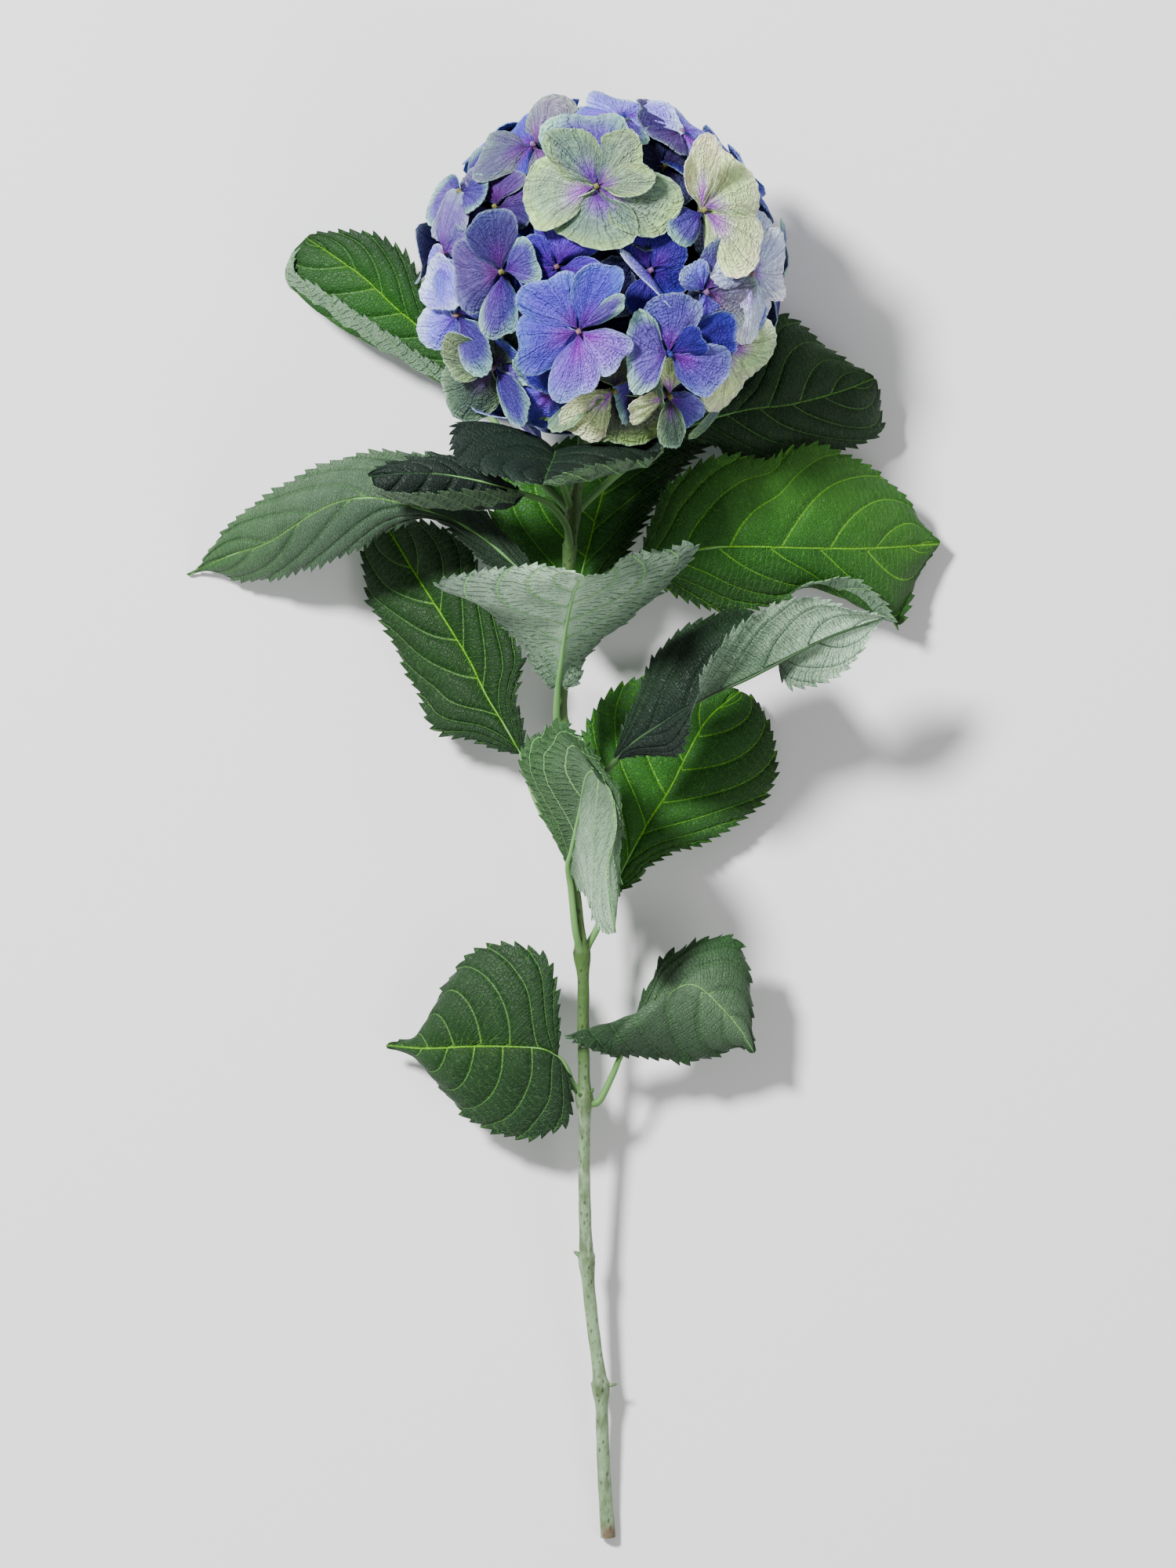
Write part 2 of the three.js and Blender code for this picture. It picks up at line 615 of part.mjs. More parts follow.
// The point of a tooth stands out from the margin and leans towards the tip.
function toothPoint({ margin, columns }, share) {
  const at = margin.place(share);
  const along = margin.tangent(share);
  const out = at.clone().sub(columns.at(-2)(share));
  out.addScaledVector(along, -out.dot(along)).normalize();
  const depth = TOOTH_DEPTH * Math.sin(Math.PI * share) ** 0.4;
  return at.addScaledVector(out, depth).addScaledVector(along, depth);
}

// The blade as rows of points across the leaf, with one tooth between two rows.
function blade(leaf) {
  const midrib = smoothPath(leaf.midrib.map(vec));
  const halves = { "-1": halfColumns(leaf, midrib, "left"), 1: halfColumns(leaf, midrib, "right") };
  const points = [];
  const ids = new Map();
  const corner = (row, side, column) => {
    const key = row === 0 || row === TEETH ? `${row}` : `${row},${column && side},${column}`;
    if (!ids.has(key)) ids.set(key, points.push(halves[side].columns[column](row / TEETH)) - 1);
    return ids.get(key);
  };
  const triangles = [];
  const add = (side, a, b, c) => {
    if (a !== b && b !== c && c !== a) triangles.push(side > 0 ? [a, b, c] : [c, b, a]);
  };
  for (const side of [-1, 1]) {
    const reach = halves[side].columns.length - 1;
    for (let row = 0; row < TEETH; row++) {
      for (let column = 0; column < reach; column++) {
        const [near, far] = [corner(row, side, column), corner(row, side, column + 1)];
        const [nextNear, nextFar] = [corner(row + 1, side, column), corner(row + 1, side, column + 1)];
        add(side, near, far, nextNear);
        add(side, far, nextFar, nextNear);
      }
      const apex = points.push(toothPoint(halves[side], (row + 0.72) / TEETH)) - 1;
      add(side, corner(row, side, reach), apex, corner(row + 1, side, reach));
    }
  }
  return thicken(points, triangles, LEAF_THICK);
}

function petiole(leaf) {
  const stalk = [NODES[leaf.node], ...leaf.petiole.map(vec), ...leaf.midrib.slice(0, 3).map(vec)];
  const path = smoothPath(stalk);
  const end = Math.min(1, path.shareAt(leaf.petiole.length + 1) + 10 / path.total);
  const radius = (u) => lerp(1.9, 0.8, u / end);
  return rod(path, radius, PETIOLE_SIDES, 5, new THREE.Vector3(0.2, 0.3, 1), 0, end);
}

const leafSolid = (leaf) => blade(leaf).add(petiole(leaf));

// ---------------------------------------------------------------- the bloom

// Sepals near the table bend onto it: below PRESS_FROM they curve away, and under PRESS_FLAT they lie flat.
const PRESS_FROM = 4;
const PRESS_FLAT = -3.2;
function press(point, lowest = SEPAL_THICK / 2) {
  const share = Math.max(0, (point.z - PRESS_FLAT) / (PRESS_FROM - PRESS_FLAT));
  if (share < 1) point.z = SEPAL_THICK / 2 + share ** 2 * (PRESS_FROM - SEPAL_THICK / 2);
  point.z = Math.max(point.z, lowest);
  return point;
}

// All the florets: those placed by hand, then a spiral over the ball wherever there is room for one more.
function florets() {
  const all = PLACED_FLORETS.map((placed, index) => {
    const depth = Math.sqrt(placed.reach ** 2 - placed.x ** 2 - placed.y ** 2);
    const out = new THREE.Vector3(placed.x, placed.y, depth).normalize();
    const look = out.clone().lerp(new THREE.Vector3(0, 0, 1), placed.lean).normalize();
    return { ...placed, index, out, look, stretch: new THREE.Vector3(1, 1, 1) };
  });
  const out = new THREE.Vector3(0, 0, -1);
  all.push({ index: all.length, out, look: out, stretch: BLOOM_STRETCH, ...RESTING_FLORET });
  for (let i = 0; i < RING_FLORETS; i++) {
    const height = 1 - (2 * (i + 0.5)) / RING_FLORETS;
    const turn = i * Math.PI * (3 - Math.sqrt(5));
    const flat = Math.sqrt(1 - height * height);
    const out = new THREE.Vector3(flat * Math.cos(turn), height, flat * Math.sin(turn));
    const crowded = all.some((other) => other.out.angleTo(out) < FLORET_SPACING);
    const atStem = out.y < -0.86;
    if (crowded || atStem) continue;
    all.push({
      index: all.length,
      out,
      look: out,
      stretch: BLOOM_STRETCH,
      reach: FLORET_REACH + 4 * chance(i, 1),
      size: 0.95 + 0.15 * chance(i, 2),
      spin: 90 * chance(i, 3),
    });
  }
  return all;
}

// Two directions across a floret's face, the first as near to +X as it can be.
function faceAxes(look) {
  const first = new THREE.Vector3(1, 0, 0);
  first.addScaledVector(look, -first.dot(look));
  if (first.length() < 0.2) first.set(0, 1, 0).addScaledVector(look, -look.y);
  first.normalize();
  return [first, look.clone().cross(first)];
}

const SEPAL_EDGE = [-60, -34, 0, 34, 60]; // degrees from the sepal's own line, seen from its root

// A sepal is a disc that touches the floret's eye, drawn in towards it: out runs from the eye to the margin.
function sepalPoint(floret, [angle, length, width, lift], tilt, out, seed) {
  const [first, second] = floret.axes;
  const turn = angle * DEGREE;
  const along = first.clone().multiplyScalar(Math.cos(turn)).addScaledVector(second, Math.sin(turn));
  const across = along.clone().cross(floret.look).negate();
  const at = tilt * DEGREE;
  const wobble = (times, salt) => Math.sin(times * at + 6.3 * chance(seed, salt));
  const uneven = 0.06 * wobble(3, 4) + 0.05 * wobble(5, 5);
  const forward = length * out * (1 + uneven) * Math.cos(at) ** 2;
  const spread = width * out * (1 + uneven) * Math.cos(at) * Math.sin(at);
  const sideways = spread * (0.7 + (0.5 * forward) / length);
  const cup = (0.05 * width * wobble(3.2, 6) - 0.14 * length) * out ** 2;
  const raise = lift * DEGREE;
  return press(
    floret.eye.clone()
      .addScaledVector(along, 1.2 + forward * Math.cos(raise))
      .addScaledVector(across, sideways)
      .addScaledVector(floret.look, forward * Math.sin(raise) + cup),
  );
}

function sepal(floret, shape, seed) {
  const points = [
    sepalPoint(floret, shape, 0, 0, seed),
    ...SEPAL_EDGE.map((tilt) => sepalPoint(floret, shape, tilt, 1, seed)),
    sepalPoint(floret, shape, 0, 0.56, seed),
  ];
  const ring = SEPAL_EDGE.length + 1;
  const triangles = Array.from({ length: ring }, (_, i) => [ring, i, (i + 1) % ring]);
  return thicken(points, triangles, SEPAL_THICK);
}

// Four sepals alike: two on top and two a little lower.
function usualSepals({ spin, size, index }) {
  return [0, 1, 2, 3].map((k) => {
    const long = size * SEPAL_LENGTH * (0.94 + 0.14 * chance(index, 10 + k));
    return [spin + 90 * k + 10 * (chance(index, 20 + k) - 0.5), long, long * 1.05, k % 2 ? -7 : 8];
  });
}

// The pedicel ends in the floret's eye, a small bud that stands out of the sepals.
function pedicel(floret) {
  const start = HEAD.clone().addScaledVector(floret.out, CORE_RADIUS - 5);
  const room = SEPAL_THICK / 2 + EYE_RADIUS * Math.sqrt(Math.max(0, 1 - floret.look.z ** 2));
  const end = press(floret.eye.clone().addScaledVector(floret.look, EYE_RADIUS * 0.6), room);
  const radius = (u) => (u < 0.97 ? PEDICEL_RADIUS : EYE_RADIUS);
  return rod(smoothPath([start, end]), radius, 4, 1, new THREE.Vector3(0.3, 0.9, 0.1));
}

function floretSolids(floret) {
  const reach = floret.out.clone().multiplyScalar(floret.reach).multiply(floret.stretch);
  floret.eye = HEAD.clone().add(reach);
  floret.axes = faceAxes(floret.look);
  const shapes = floret.sepals ?? usualSepals(floret);
  return [pedicel(floret), ...shapes.map((shape, k) => sepal(floret, shape, 10 * floret.index + k))];
}

function bloom() {
  const core = solidOfGeometry(new THREE.IcosahedronGeometry(CORE_RADIUS, 1)).translate(HEAD.toArray());
  return union([core, ...florets().flatMap(floretSolids)]);
}

// ---------------------------------------------------------------- the flower as a scene

const COLOURS = {
  stem: { color: 0x7f9a62, roughness: 0.7 },
  leaf: { color: 0x2f6b2c, roughness: 0.5 },
  sepal: { color: 0x8a8fcf, roughness: 0.65 },
};
const material = (name) => new THREE.MeshStandardMaterial({ ...COLOURS[name], metalness: 0 });

function mesh(name, made, colour) {
  const { numProp, vertProperties, triVerts } = made.getMesh();
  const position = new Float32Array((vertProperties.length / numProp) * 3);
  for (let i = 0; i < position.length / 3; i++)
    position.set(vertProperties.subarray(i * numProp, i * numProp + 3), i * 3);
  const geometry = new THREE.BufferGeometry()
    .setAttribute("position", new THREE.BufferAttribute(position, 3))
    .setIndex(new THREE.BufferAttribute(triVerts, 1));
  geometry.computeVertexNormals();
  const piece = new THREE.Mesh(geometry, material(colour));
  piece.name = name;
  return piece;
}

// Everything that grows on the stem is cut back from it by the gap, at its end too.
const stemRoom = stemSolid(GAP).add(stemSolid(GAP).translate([0, GAP, 0]));
const flower = new THREE.Group();
flower.add(mesh("stem", union([stemSolid(0), ...BUDS.map(bud)]), "stem"));
for (const leaf of LEAVES) flower.add(mesh(leaf.name, leafSolid(leaf).subtract(stemRoom), "leaf"));
flower.add(mesh("flower_head", bloom().subtract(stemRoom), "sepal"));

export default flower;
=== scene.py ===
"""A cut hydrangea lying on a table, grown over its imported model.

The flower lies along +Y with its bloom at the far end, and +Z is up from the table. Lengths are in
millimetres here and become metres when a mesh is made. Every blade, sepal, stalk and bud is a surface
worked out from two parameters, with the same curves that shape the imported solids.
"""

import math

import bpy
import numpy as np
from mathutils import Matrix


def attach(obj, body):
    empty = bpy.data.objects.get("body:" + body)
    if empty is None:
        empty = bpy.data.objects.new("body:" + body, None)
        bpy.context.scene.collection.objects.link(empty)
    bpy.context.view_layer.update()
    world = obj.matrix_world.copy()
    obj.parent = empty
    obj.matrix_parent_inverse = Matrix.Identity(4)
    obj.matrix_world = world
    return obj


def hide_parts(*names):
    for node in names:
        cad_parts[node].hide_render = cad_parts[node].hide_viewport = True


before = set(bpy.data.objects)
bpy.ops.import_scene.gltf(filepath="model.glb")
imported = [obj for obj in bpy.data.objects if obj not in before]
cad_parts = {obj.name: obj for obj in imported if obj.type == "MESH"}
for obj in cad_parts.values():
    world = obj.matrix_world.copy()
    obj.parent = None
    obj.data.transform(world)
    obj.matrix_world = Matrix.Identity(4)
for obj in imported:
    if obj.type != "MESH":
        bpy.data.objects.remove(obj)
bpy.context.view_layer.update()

# ---------------------------------------------------------------- driving values, mm

MM = 0.001  # in metres
BLADE_THICK, SEPAL_THICK = 0.5, 0.45
LEAF_PUFF = 0.07  # how far a half blade bulges, as a share of its width
TOOTH_LENGTH, TOOTH_DEPTH = 5.2, 2.6
TOOTH_APEX = 0.72  # how far along a tooth its point is
TOOTH_ROWS = (0.0, 0.24, 0.48, TOOTH_APEX, 0.86)  # where rows of points cross one tooth
CUT_END_Y, CUT_END_Z, STEM_RISE = -309, 3.4, 0.139
HEAD = np.array([17.0, 233.0, 72.0])  # the middle of the bloom
CORE_RADIUS = 34
FLORET_REACH = 71  # from the middle of the bloom to the eyes of the florets round it
LOWEST_REACH = 79  # the same for the floret that the bloom lies on
BLOOM_STRETCH = np.array([1.04, 0.99, 1.0])
SEPAL_LENGTH = 27
EYE_RADIUS = 2.2
BUD_TOP, BUD_NECK, BUD_RADIUS = 2.6, 3.6, 1.6  # of the bud in an eye: its top above the eye, neck below that

# Two spirals of florets, over the bloom and deeper in: how many places each offers, the angle in radians
# that a floret keeps from its neighbours, and how far towards the stem they go, as y of the direction.
RING_FLORETS, RING_SPACING, RING_END = 64, 0.56, -0.86
INNER_FLORETS, INNER_SPACING, INNER_END = 110, 0.2, -0.9
INNER_REACH, INNER_SIZE = (59, 53), (0.86, 0.72)  # at the back, and at the front, where they are deeper in
PLACED_GRID, RING_GRID, INNER_GRID = (13, 41), (9, 17), (8, 13)  # rows and columns of points on a sepal
# Sepals bend onto the table: below PRESS_FROM they fall ever more slowly, and what would be at PRESS_FLAT
# or below it lies flat at PRESSED.
PRESS_FROM, PRESS_FLAT, PRESSED = 4, -3.2, 0.4
CREASE_ANGLE = 50  # degrees; sharper edges than this aren't smoothed

# The photograph is taken to be seen from straight above, over this point of the bloom's middle plane.
EYE_POINT = (10.8, 15.2, 65)
VIEW_HEIGHT = 5000
VIEW_SPAN = 666.7  # what the long side of the picture takes in at EYE_POINT


def on_stem(x, y):
    """A point on the stem's axis, which rises from the cut end to the bloom."""
    return (x, y, CUT_END_Z + STEM_RISE * (y - CUT_END_Y))


NODES = {
    "scar": on_stem(16.2, -244),
    "stub": on_stem(10.2, -189),
    "low": on_stem(9.2, -120),
    "second": on_stem(8.2, -58),
    "third": on_stem(3.5, -15),
    "fourth": on_stem(-0.8, 40),
    "fifth": on_stem(1.5, 95),
    "sixth": on_stem(3.2, 115),
    "top": on_stem(4.5, 130),
}
STEM_AXIS = [
    on_stem(19.5, CUT_END_Y), on_stem(18, -288), on_stem(17, -262), NODES["scar"], on_stem(13, -218),
    NODES["stub"], on_stem(9.3, -155), NODES["low"], on_stem(8.8, -88), NODES["second"], NODES["third"],
    on_stem(0, 15), NODES["fourth"], on_stem(0.2, 65), NODES["fifth"], NODES["top"], on_stem(7.5, 150),
    on_stem(14.5, 206),
]
# The stem's radius at places along it, and how much each node adds to it.
STEM_RADII = [(-309, 3.2), (-292, 2.8), (-160, 2.6), (-60, 2.4), (60, 2.4), (206, 2.5)]
NODE_SWELL = {
    "scar": 1.3, "stub": 0.9, "low": 1.3, "second": 1.3, "third": 0.9, "fourth": 0.9, "fifth": 0.8,
    "sixth": 0.6, "top": 0.9,
}
SWELL_LENGTH = 5.5
STEM_POINTS, STEM_SIDES = 460, 24
BARK_END, FRESH_START = -135, -95  # along the stem, where its bark ends and where it is green all round
# The buds: their node, the way they point, their length and their radius.
BUDS = [
    ("stub", (-0.8, 0.55, 0.3), 7, 1.5),
    ("scar", (0.95, 0.2, 0.2), 7.5, 1.1),
    ("scar", (-0.9, 0.4, 0.1), 4.6, 1.6),
    ("low", (0.62, 0.75, 0.25), 6.5, 1.5),
    ("low", (-0.4, 0.5, 0.85), 6, 1.4),
    ("second", (0.1, 0.9, 0.45), 5.5, 1.4),
]

# Each leaf, as points on its curves: the petiole from its node, the midrib, and both margins between the
# ends of the midrib, seen from the upper side. A crease is where the outer strip of a half turns over.
LEAVES = [
  {
    "name": "leaf_low_left",
    "node": "low",
    "petiole": [[4, -113, 31], [1.5, -106.5, 34]],
    "midrib": [
      [-2, -101.5, 36], [-9, -98, 38], [-23, -97, 38], [-39, -97, 34], [-59, -98, 25], [-76, -97, 14],
    ],
    "left": [
      [3, -112, 35], [2, -127, 32], [-7, -133, 29], [-19, -135, 27], [-39, -128, 24], [-53, -114, 20],
      [-62, -102, 17.5],
    ],
    "right": [
      [-2, -85, 37], [-6, -63, 36], [-16, -56, 34.5], [-29, -55, 32], [-42, -61, 28], [-54, -78, 23],
      [-62, -93, 18.5],
    ],
  },
  {
    "name": "leaf_low_right",
    "node": "low",
    "petiole": [[15, -121, 30], [21, -110, 31]],
    "midrib": [
      [24, -102, 32], [29, -93, 37], [37.5, -82, 43], [49, -72, 47], [57.5, -71, 48], [67.5, -80, 44],
      [76, -90, 38], [82, -100, 31],
    ],
    "left": [
      [29, -92, 36], [33.5, -81, 37], [39, -70, 38], [44, -60, 37], [51.5, -56, 36], [61, -51.5, 36],
      [72.5, -51, 38], [78, -61.5, 38], [79.5, -75, 36], [80, -88, 34],
    ],
    "right": [
      [16, -99, 37], [3.5, -93, 42], [9, -95, 44], [16, -97, 42], [27.5, -100, 37], [44, -102, 33],
      [54, -103, 32], [67.5, -99, 32], [76, -96.5, 32],
    ],
  },
  {
    "name": "leaf_second_front",
    "node": "second",
    "petiole": [[5.5, -48, 44], [3.5, -30, 47]],
    "midrib": [
      [3, -20, 50], [7.5, 2, 66], [11.5, 20, 84], [19, 15, 98], [22.5, -1.5, 105], [19, -21.5, 103],
      [22, -47.5, 94],
    ],
    "left": [
      [-2.5, -10, 53], [-9, 3.5, 58], [-17.5, 22, 64], [-15, 33.5, 68], [-9, 36, 71], [-2, 41, 75],
      [7.5, 33.5, 84], [16, 23.5, 93], [23.5, 12, 99], [24.5, -6, 100], [24, -30, 97],
    ],
    "right": [[6, -28, 55], [9, -31.5, 65], [11.5, -35, 76], [16, -45.5, 87]],
  },
  {
    "name": "leaf_second_back",
    "node": "second",
    "petiole": [[14, -48, 34], [17.5, -40, 31]],
    "midrib": [
      [21, -31.5, 28], [27.5, -18, 25], [37.5, 0, 22], [46, 13.5, 20], [53.5, 28.5, 18], [62.5, 43.5, 15],
      [76, 55, 10],
    ],
    "left": [
      [17, -29, 27], [16, -18, 25], [17.5, -5, 22], [15, 15, 20], [10, 33.5, 19], [15, 47, 18],
      [22.5, 54.5, 17], [31.5, 59, 16], [47.5, 62, 15], [62.5, 60, 12],
    ],
    "right": [
      [27.5, -29, 27], [33.5, -24, 25], [36, -20, 24], [46, -14, 22], [61, -9, 18], [75, 0, 15],
      [86, 10, 12], [90, 20, 10], [90, 32, 9], [87.5, 42, 9], [82.5, 51, 9],
    ],
  },
  {
    "name": "leaf_third_left",
    "node": "third",
    "petiole": [[-9, 3.5, 40], [-15, 18.5, 35]],
    "midrib": [
      [-18, 28, 32], [-26, 42, 30], [-33, 53.5, 28], [-40.5, 69, 26], [-52.5, 88.5, 22], [-65, 108, 17],
      [-73.5, 122, 13], [-81, 130, 10],
    ],
    "left": [
      [-26, 30, 29], [-39, 35, 26], [-51, 37.5, 23], [-57, 42.5, 20], [-60, 52, 18], [-66, 62.5, 16],
      [-72.5, 78, 13], [-79, 89, 11], [-82.5, 95, 10], [-84, 105, 9], [-85, 116, 9],
    ],
    "right": [
      [-16.5, 33.5, 33], [-18, 43.5, 33], [-20.5, 51, 33], [-19, 62, 33], [-18, 70, 33], [-26, 83.5, 31],
      [-34, 98.5, 28], [-37.5, 108.5, 26], [-42.5, 118.5, 23], [-54, 124.5, 19], [-66, 128, 14],
    ],
  },
  {
    "name": "leaf_third_right",
    "node": "third",
    "petiole": [[12.5, 8.5, 50], [17.5, 18.5, 54]],
    "midrib": [
      [22, 25, 57], [27.5, 31, 61], [39, 39, 67], [51, 47, 73], [62.5, 53.5, 77], [77.5, 60, 81],
      [97.5, 70, 84], [114, 78, 82], [137, 86, 76],
    ],
    "left": [
      [22.5, 28, 57], [27.5, 42, 60], [36, 62, 62], [41.5, 72, 62], [54, 82, 62], [71, 87.5, 62],
      [80, 86, 63], [89, 72, 69], [96, 57.5, 75], [114, 60.5, 77], [125, 70, 77], [131, 80, 76],
    ],
    "right": [
      [31, 28, 60], [48, 28, 67], [52.5, 38.5, 78], [59, 58.5, 91], [67.5, 72, 95], [79, 83, 95],
      [89, 88.5, 93], [104, 93, 91], [121, 89, 86], [129, 87.5, 81],
    ],
  },
  {
    "name": "leaf_fourth_front",
    "node": "fourth",
    "petiole": [[-2.5, 43, 56], [-2.5, 50, 60]],
    "midrib": [
      [-2, 58, 64], [-0.5, 68.5, 76], [1, 78.5, 90], [2.5, 87, 105], [4.5, 95, 122], [7, 100, 138],
      [10, 102, 150],
    ],
    "left": [
      [-5, 56, 65], [-9, 60, 68], [-12.5, 65, 71], [-16, 72, 76], [-26, 83.5, 85], [-39, 94.5, 93],
      [-51.5, 98, 101], [-49, 101, 109], [-32.5, 103.5, 121], [-12.5, 106, 134], [-1, 105, 143],
    ],
    "right": [
      [1.5, 56, 65], [7, 59, 68], [9, 67, 71], [15, 75, 77], [27.5, 85, 85], [41, 97, 93], [51, 107, 99],
      [56, 115, 104], [41, 112, 113], [27.5, 110, 124], [19, 103.5, 138],
    ],
  },
  {
    "name": "leaf_fourth_back",
    "node": "fourth",
    "petiole": [[0.5, 52, 46], [2, 68, 43]],
    "midrib": [
      [3.5, 82, 42], [6, 93.5, 40], [8, 105, 38], [11.5, 118.5, 37], [15, 132, 35], [19, 145, 33],
      [26, 157, 29], [44, 167, 23],
    ],
    "left": [
      [-1, 82, 42], [-9, 92, 40], [-19, 105, 38], [-26, 118.5, 36], [-29, 132, 35], [-24, 145, 34],
      [-9, 157, 31], [14, 165, 27],
    ],
    "right": [
      [9, 83.5, 41], [19, 95, 39], [22.5, 107, 38], [28, 117, 37], [33.5, 127, 35], [41.5, 139, 32],
      [51.5, 152, 28], [62.5, 162, 23], [57.5, 166, 22],
    ],
  },
  {
    "name": "leaf_fifth_left",
    "node": "fifth",
    "petiole": [[-6, 99.5, 60]],
    "midrib": [
      [-15, 103.5, 61], [-26, 113.5, 65], [-39, 123.5, 70], [-52.5, 129.5, 73], [-69, 134.5, 73],
      [-82.5, 137, 69], [-96, 135, 62], [-109, 129, 52], [-126, 118.5, 36], [-142.5, 113.5, 19],
      [-162, 105.5, 0.8],
    ],
    "left": [
      [-22.5, 103.5, 60], [-32.5, 110, 62], [-42.5, 118.5, 67], [-47.5, 124.5, 70], [-59, 128, 70],
      [-72.5, 124.5, 65], [-86, 117.5, 56], [-99, 112, 46], [-112.5, 108, 34], [-126, 104, 21],
      [-140, 103.5, 10], [-152, 107, 4],
    ],
    "right": [
      [-14, 108.5, 59], [-22.5, 118.5, 60], [-32.5, 130, 60], [-39, 140, 59], [-49, 150, 58],
      [-59, 155, 58], [-72.5, 156, 57], [-89, 154, 54], [-106, 148, 48], [-122.5, 139, 38],
      [-139, 128.5, 26], [-152, 115, 12], [-156, 108.5, 6],
    ],
  },
  {
    "name": "leaf_fifth_right",
    "node": "fifth",
    "petiole": [[14, 100, 58]],
    "midrib": [
      [27.5, 108, 57], [41, 111, 57], [55, 114, 56], [62.5, 116, 55], [81, 116.5, 52], [104, 116, 45],
      [127.5, 116, 34], [144, 117, 23], [162, 118.5, 11],
    ],
    "left": [
      [28, 110, 56], [34, 115, 56], [38, 127, 54], [44, 140, 51], [51, 146, 49], [61, 152, 47],
      [74, 154, 45], [87.5, 152, 43], [97.5, 157, 39], [109, 159, 35], [121, 155, 31], [134, 148.5, 25],
      [147.5, 137, 19], [154, 127, 15],
    ],
    "right": [
      [31, 106, 56], [42.5, 99.5, 53], [54, 94, 49], [67.5, 90, 45], [81, 91, 42], [94, 94.5, 39],
      [107, 100, 41], [122, 101.5, 40], [131.5, 97.5, 35], [139, 89, 27], [143.5, 83.5, 19],
      [147.5, 91, 16], [151.5, 102, 14], [156, 111, 12],
    ],
    "rightCrease": [
      [36, 106, 55], [54, 99, 50], [74, 95, 45], [94, 96.5, 39], [107.5, 98, 33], [127.5, 89, 24],
      [141, 84, 17], [147, 95, 16], [155, 110, 13],
    ],
  },
  {
    "name": "leaf_sixth_front",
    "node": "sixth",
    "petiole": [[1.5, 125, 72], [-6, 134, 80]],
    "midrib": [
      [-16, 138, 86], [-26, 141, 90], [-39, 144, 94], [-52.5, 146, 97], [-66, 146.5, 98], [-82, 145, 96],
    ],
    "left": [
      [-26, 138.5, 95], [-39, 137.5, 101], [-56, 137.5, 104], [-72.5, 138, 104], [-79, 140, 100],
    ],
    "leftCrease": [[-22.5, 131, 86], [-39, 130, 88], [-56, 131, 90], [-69, 133.5, 92], [-79, 138, 95]],
    "right": [
      [-26, 144, 88], [-39, 148.5, 89], [-47.5, 153.5, 88], [-59, 153.5, 90], [-71, 151, 93],
      [-77.5, 148.5, 95],
    ],
  },
  {
    "name": "leaf_top_front",
    "node": "top",
    "petiole": [[1, 140, 70], [-2, 149, 76]],
    "midrib": [[-3, 154, 84], [-3, 156, 98], [-4, 152, 112], [-6, 147, 124], [-8, 141, 136]],
    "left": [
      [10, 155, 82], [27.5, 160, 86], [43.5, 168, 96], [44, 160, 104], [40, 153, 112], [36, 150, 120],
      [27.5, 149.5, 128], [14, 148, 136], [1, 145, 141],
    ],
    "leftCrease": [
      [12, 153.5, 84], [30, 155, 92], [41, 153, 104], [37.5, 148, 114], [27.5, 145, 122], [14, 142, 130],
      [1, 140, 136],
    ],
    "right": [
      [-12, 157, 84], [-26, 165, 92], [-39, 168.5, 100], [-45, 164.5, 106], [-45, 157, 113],
      [-42.5, 151, 120], [-36, 147, 127], [-26, 144, 133], [-16, 142, 138],
    ],
  },
  {
    "name": "leaf_top_left",
    "node": "top",
    "petiole": [[-12, 147, 54], [-27, 167, 41]],
    "midrib": [
      [-38, 183, 34], [-47.5, 197, 32], [-59, 208.5, 31], [-72.5, 220, 31], [-84, 231, 30],
      [-96, 240, 27], [-110, 249.5, 22],
    ],
    "left": [
      [-48, 190, 34], [-60, 197, 36], [-72, 206, 37], [-88, 216, 35], [-103, 225, 31], [-116, 234, 25],
      [-115, 242, 22],
    ],
    "leftCrease": [
      [-50, 185, 31], [-60, 190, 29], [-70, 196, 27], [-90, 206, 24], [-108, 218, 20], [-120, 231, 17],
      [-117, 242, 19],
    ],
    "right": [
      [-42, 195, 32], [-50, 206, 32], [-56, 218, 33], [-61, 230, 34], [-66, 239, 34], [-73, 245, 33],
      [-82.5, 250, 31], [-96, 251, 27], [-105, 251, 24],
    ],
  },
  {
    "name": "leaf_top_right",
    "node": "top",
    "petiole": [[22, 146, 56], [37, 157.5, 47]],
    "midrib": [
      [47, 164.5, 42], [54, 168, 40], [66, 172, 39], [81, 175.5, 38], [95, 177, 36], [108, 180, 33],
      [121, 184, 29], [133.5, 189, 24],
    ],
    "left": [
      [48, 167.5, 39], [54, 175, 34], [61, 182, 31], [71, 188.5, 32], [81, 193.5, 34], [86, 205, 34],
      [91.5, 214.5, 33], [101, 211.5, 31], [110, 204, 29], [120.5, 196.5, 27], [129, 192, 25],
    ],
    "right": [
      [50, 163, 41], [57.5, 162, 40], [66, 160, 38], [74, 154, 35], [87.5, 151, 31], [97.5, 153, 28],
      [108, 157, 25], [127, 161.5, 20], [135.5, 166, 19], [136, 175, 20], [135, 183.5, 22],
    ],
  },
]

# ---------------------------------------------------------------- colours, as the eye sees them, 0 to 255

# The leaves' greens. Some serve as painted light and shade: the dark shade and night where shade falls on a
# leaf, and the pale sheen as a painted highlight.
GREENS = {
    "lime": (92, 146, 56), "bright": (66, 126, 46), "mid": (54, 100, 46), "deep": (42, 78, 42),
    "rich": (26, 68, 18), "shade": (34, 58, 42), "night": (30, 46, 40), "smoke": (70, 92, 74),
    "grey": (102, 126, 102), "pale": (128, 152, 124), "sheen": (154, 170, 158), "silver": (170, 184, 170),
    "leafy": (96, 138, 82), "white": (202, 211, 202),
}
VEINS = {
    "yellow": (164, 192, 98), "light": (142, 172, 104), "green": (92, 134, 76), "dim": (66, 96, 66),
    "dark": (46, 70, 46), "silver": (172, 192, 150), "leafy": (172, 194, 152),
}
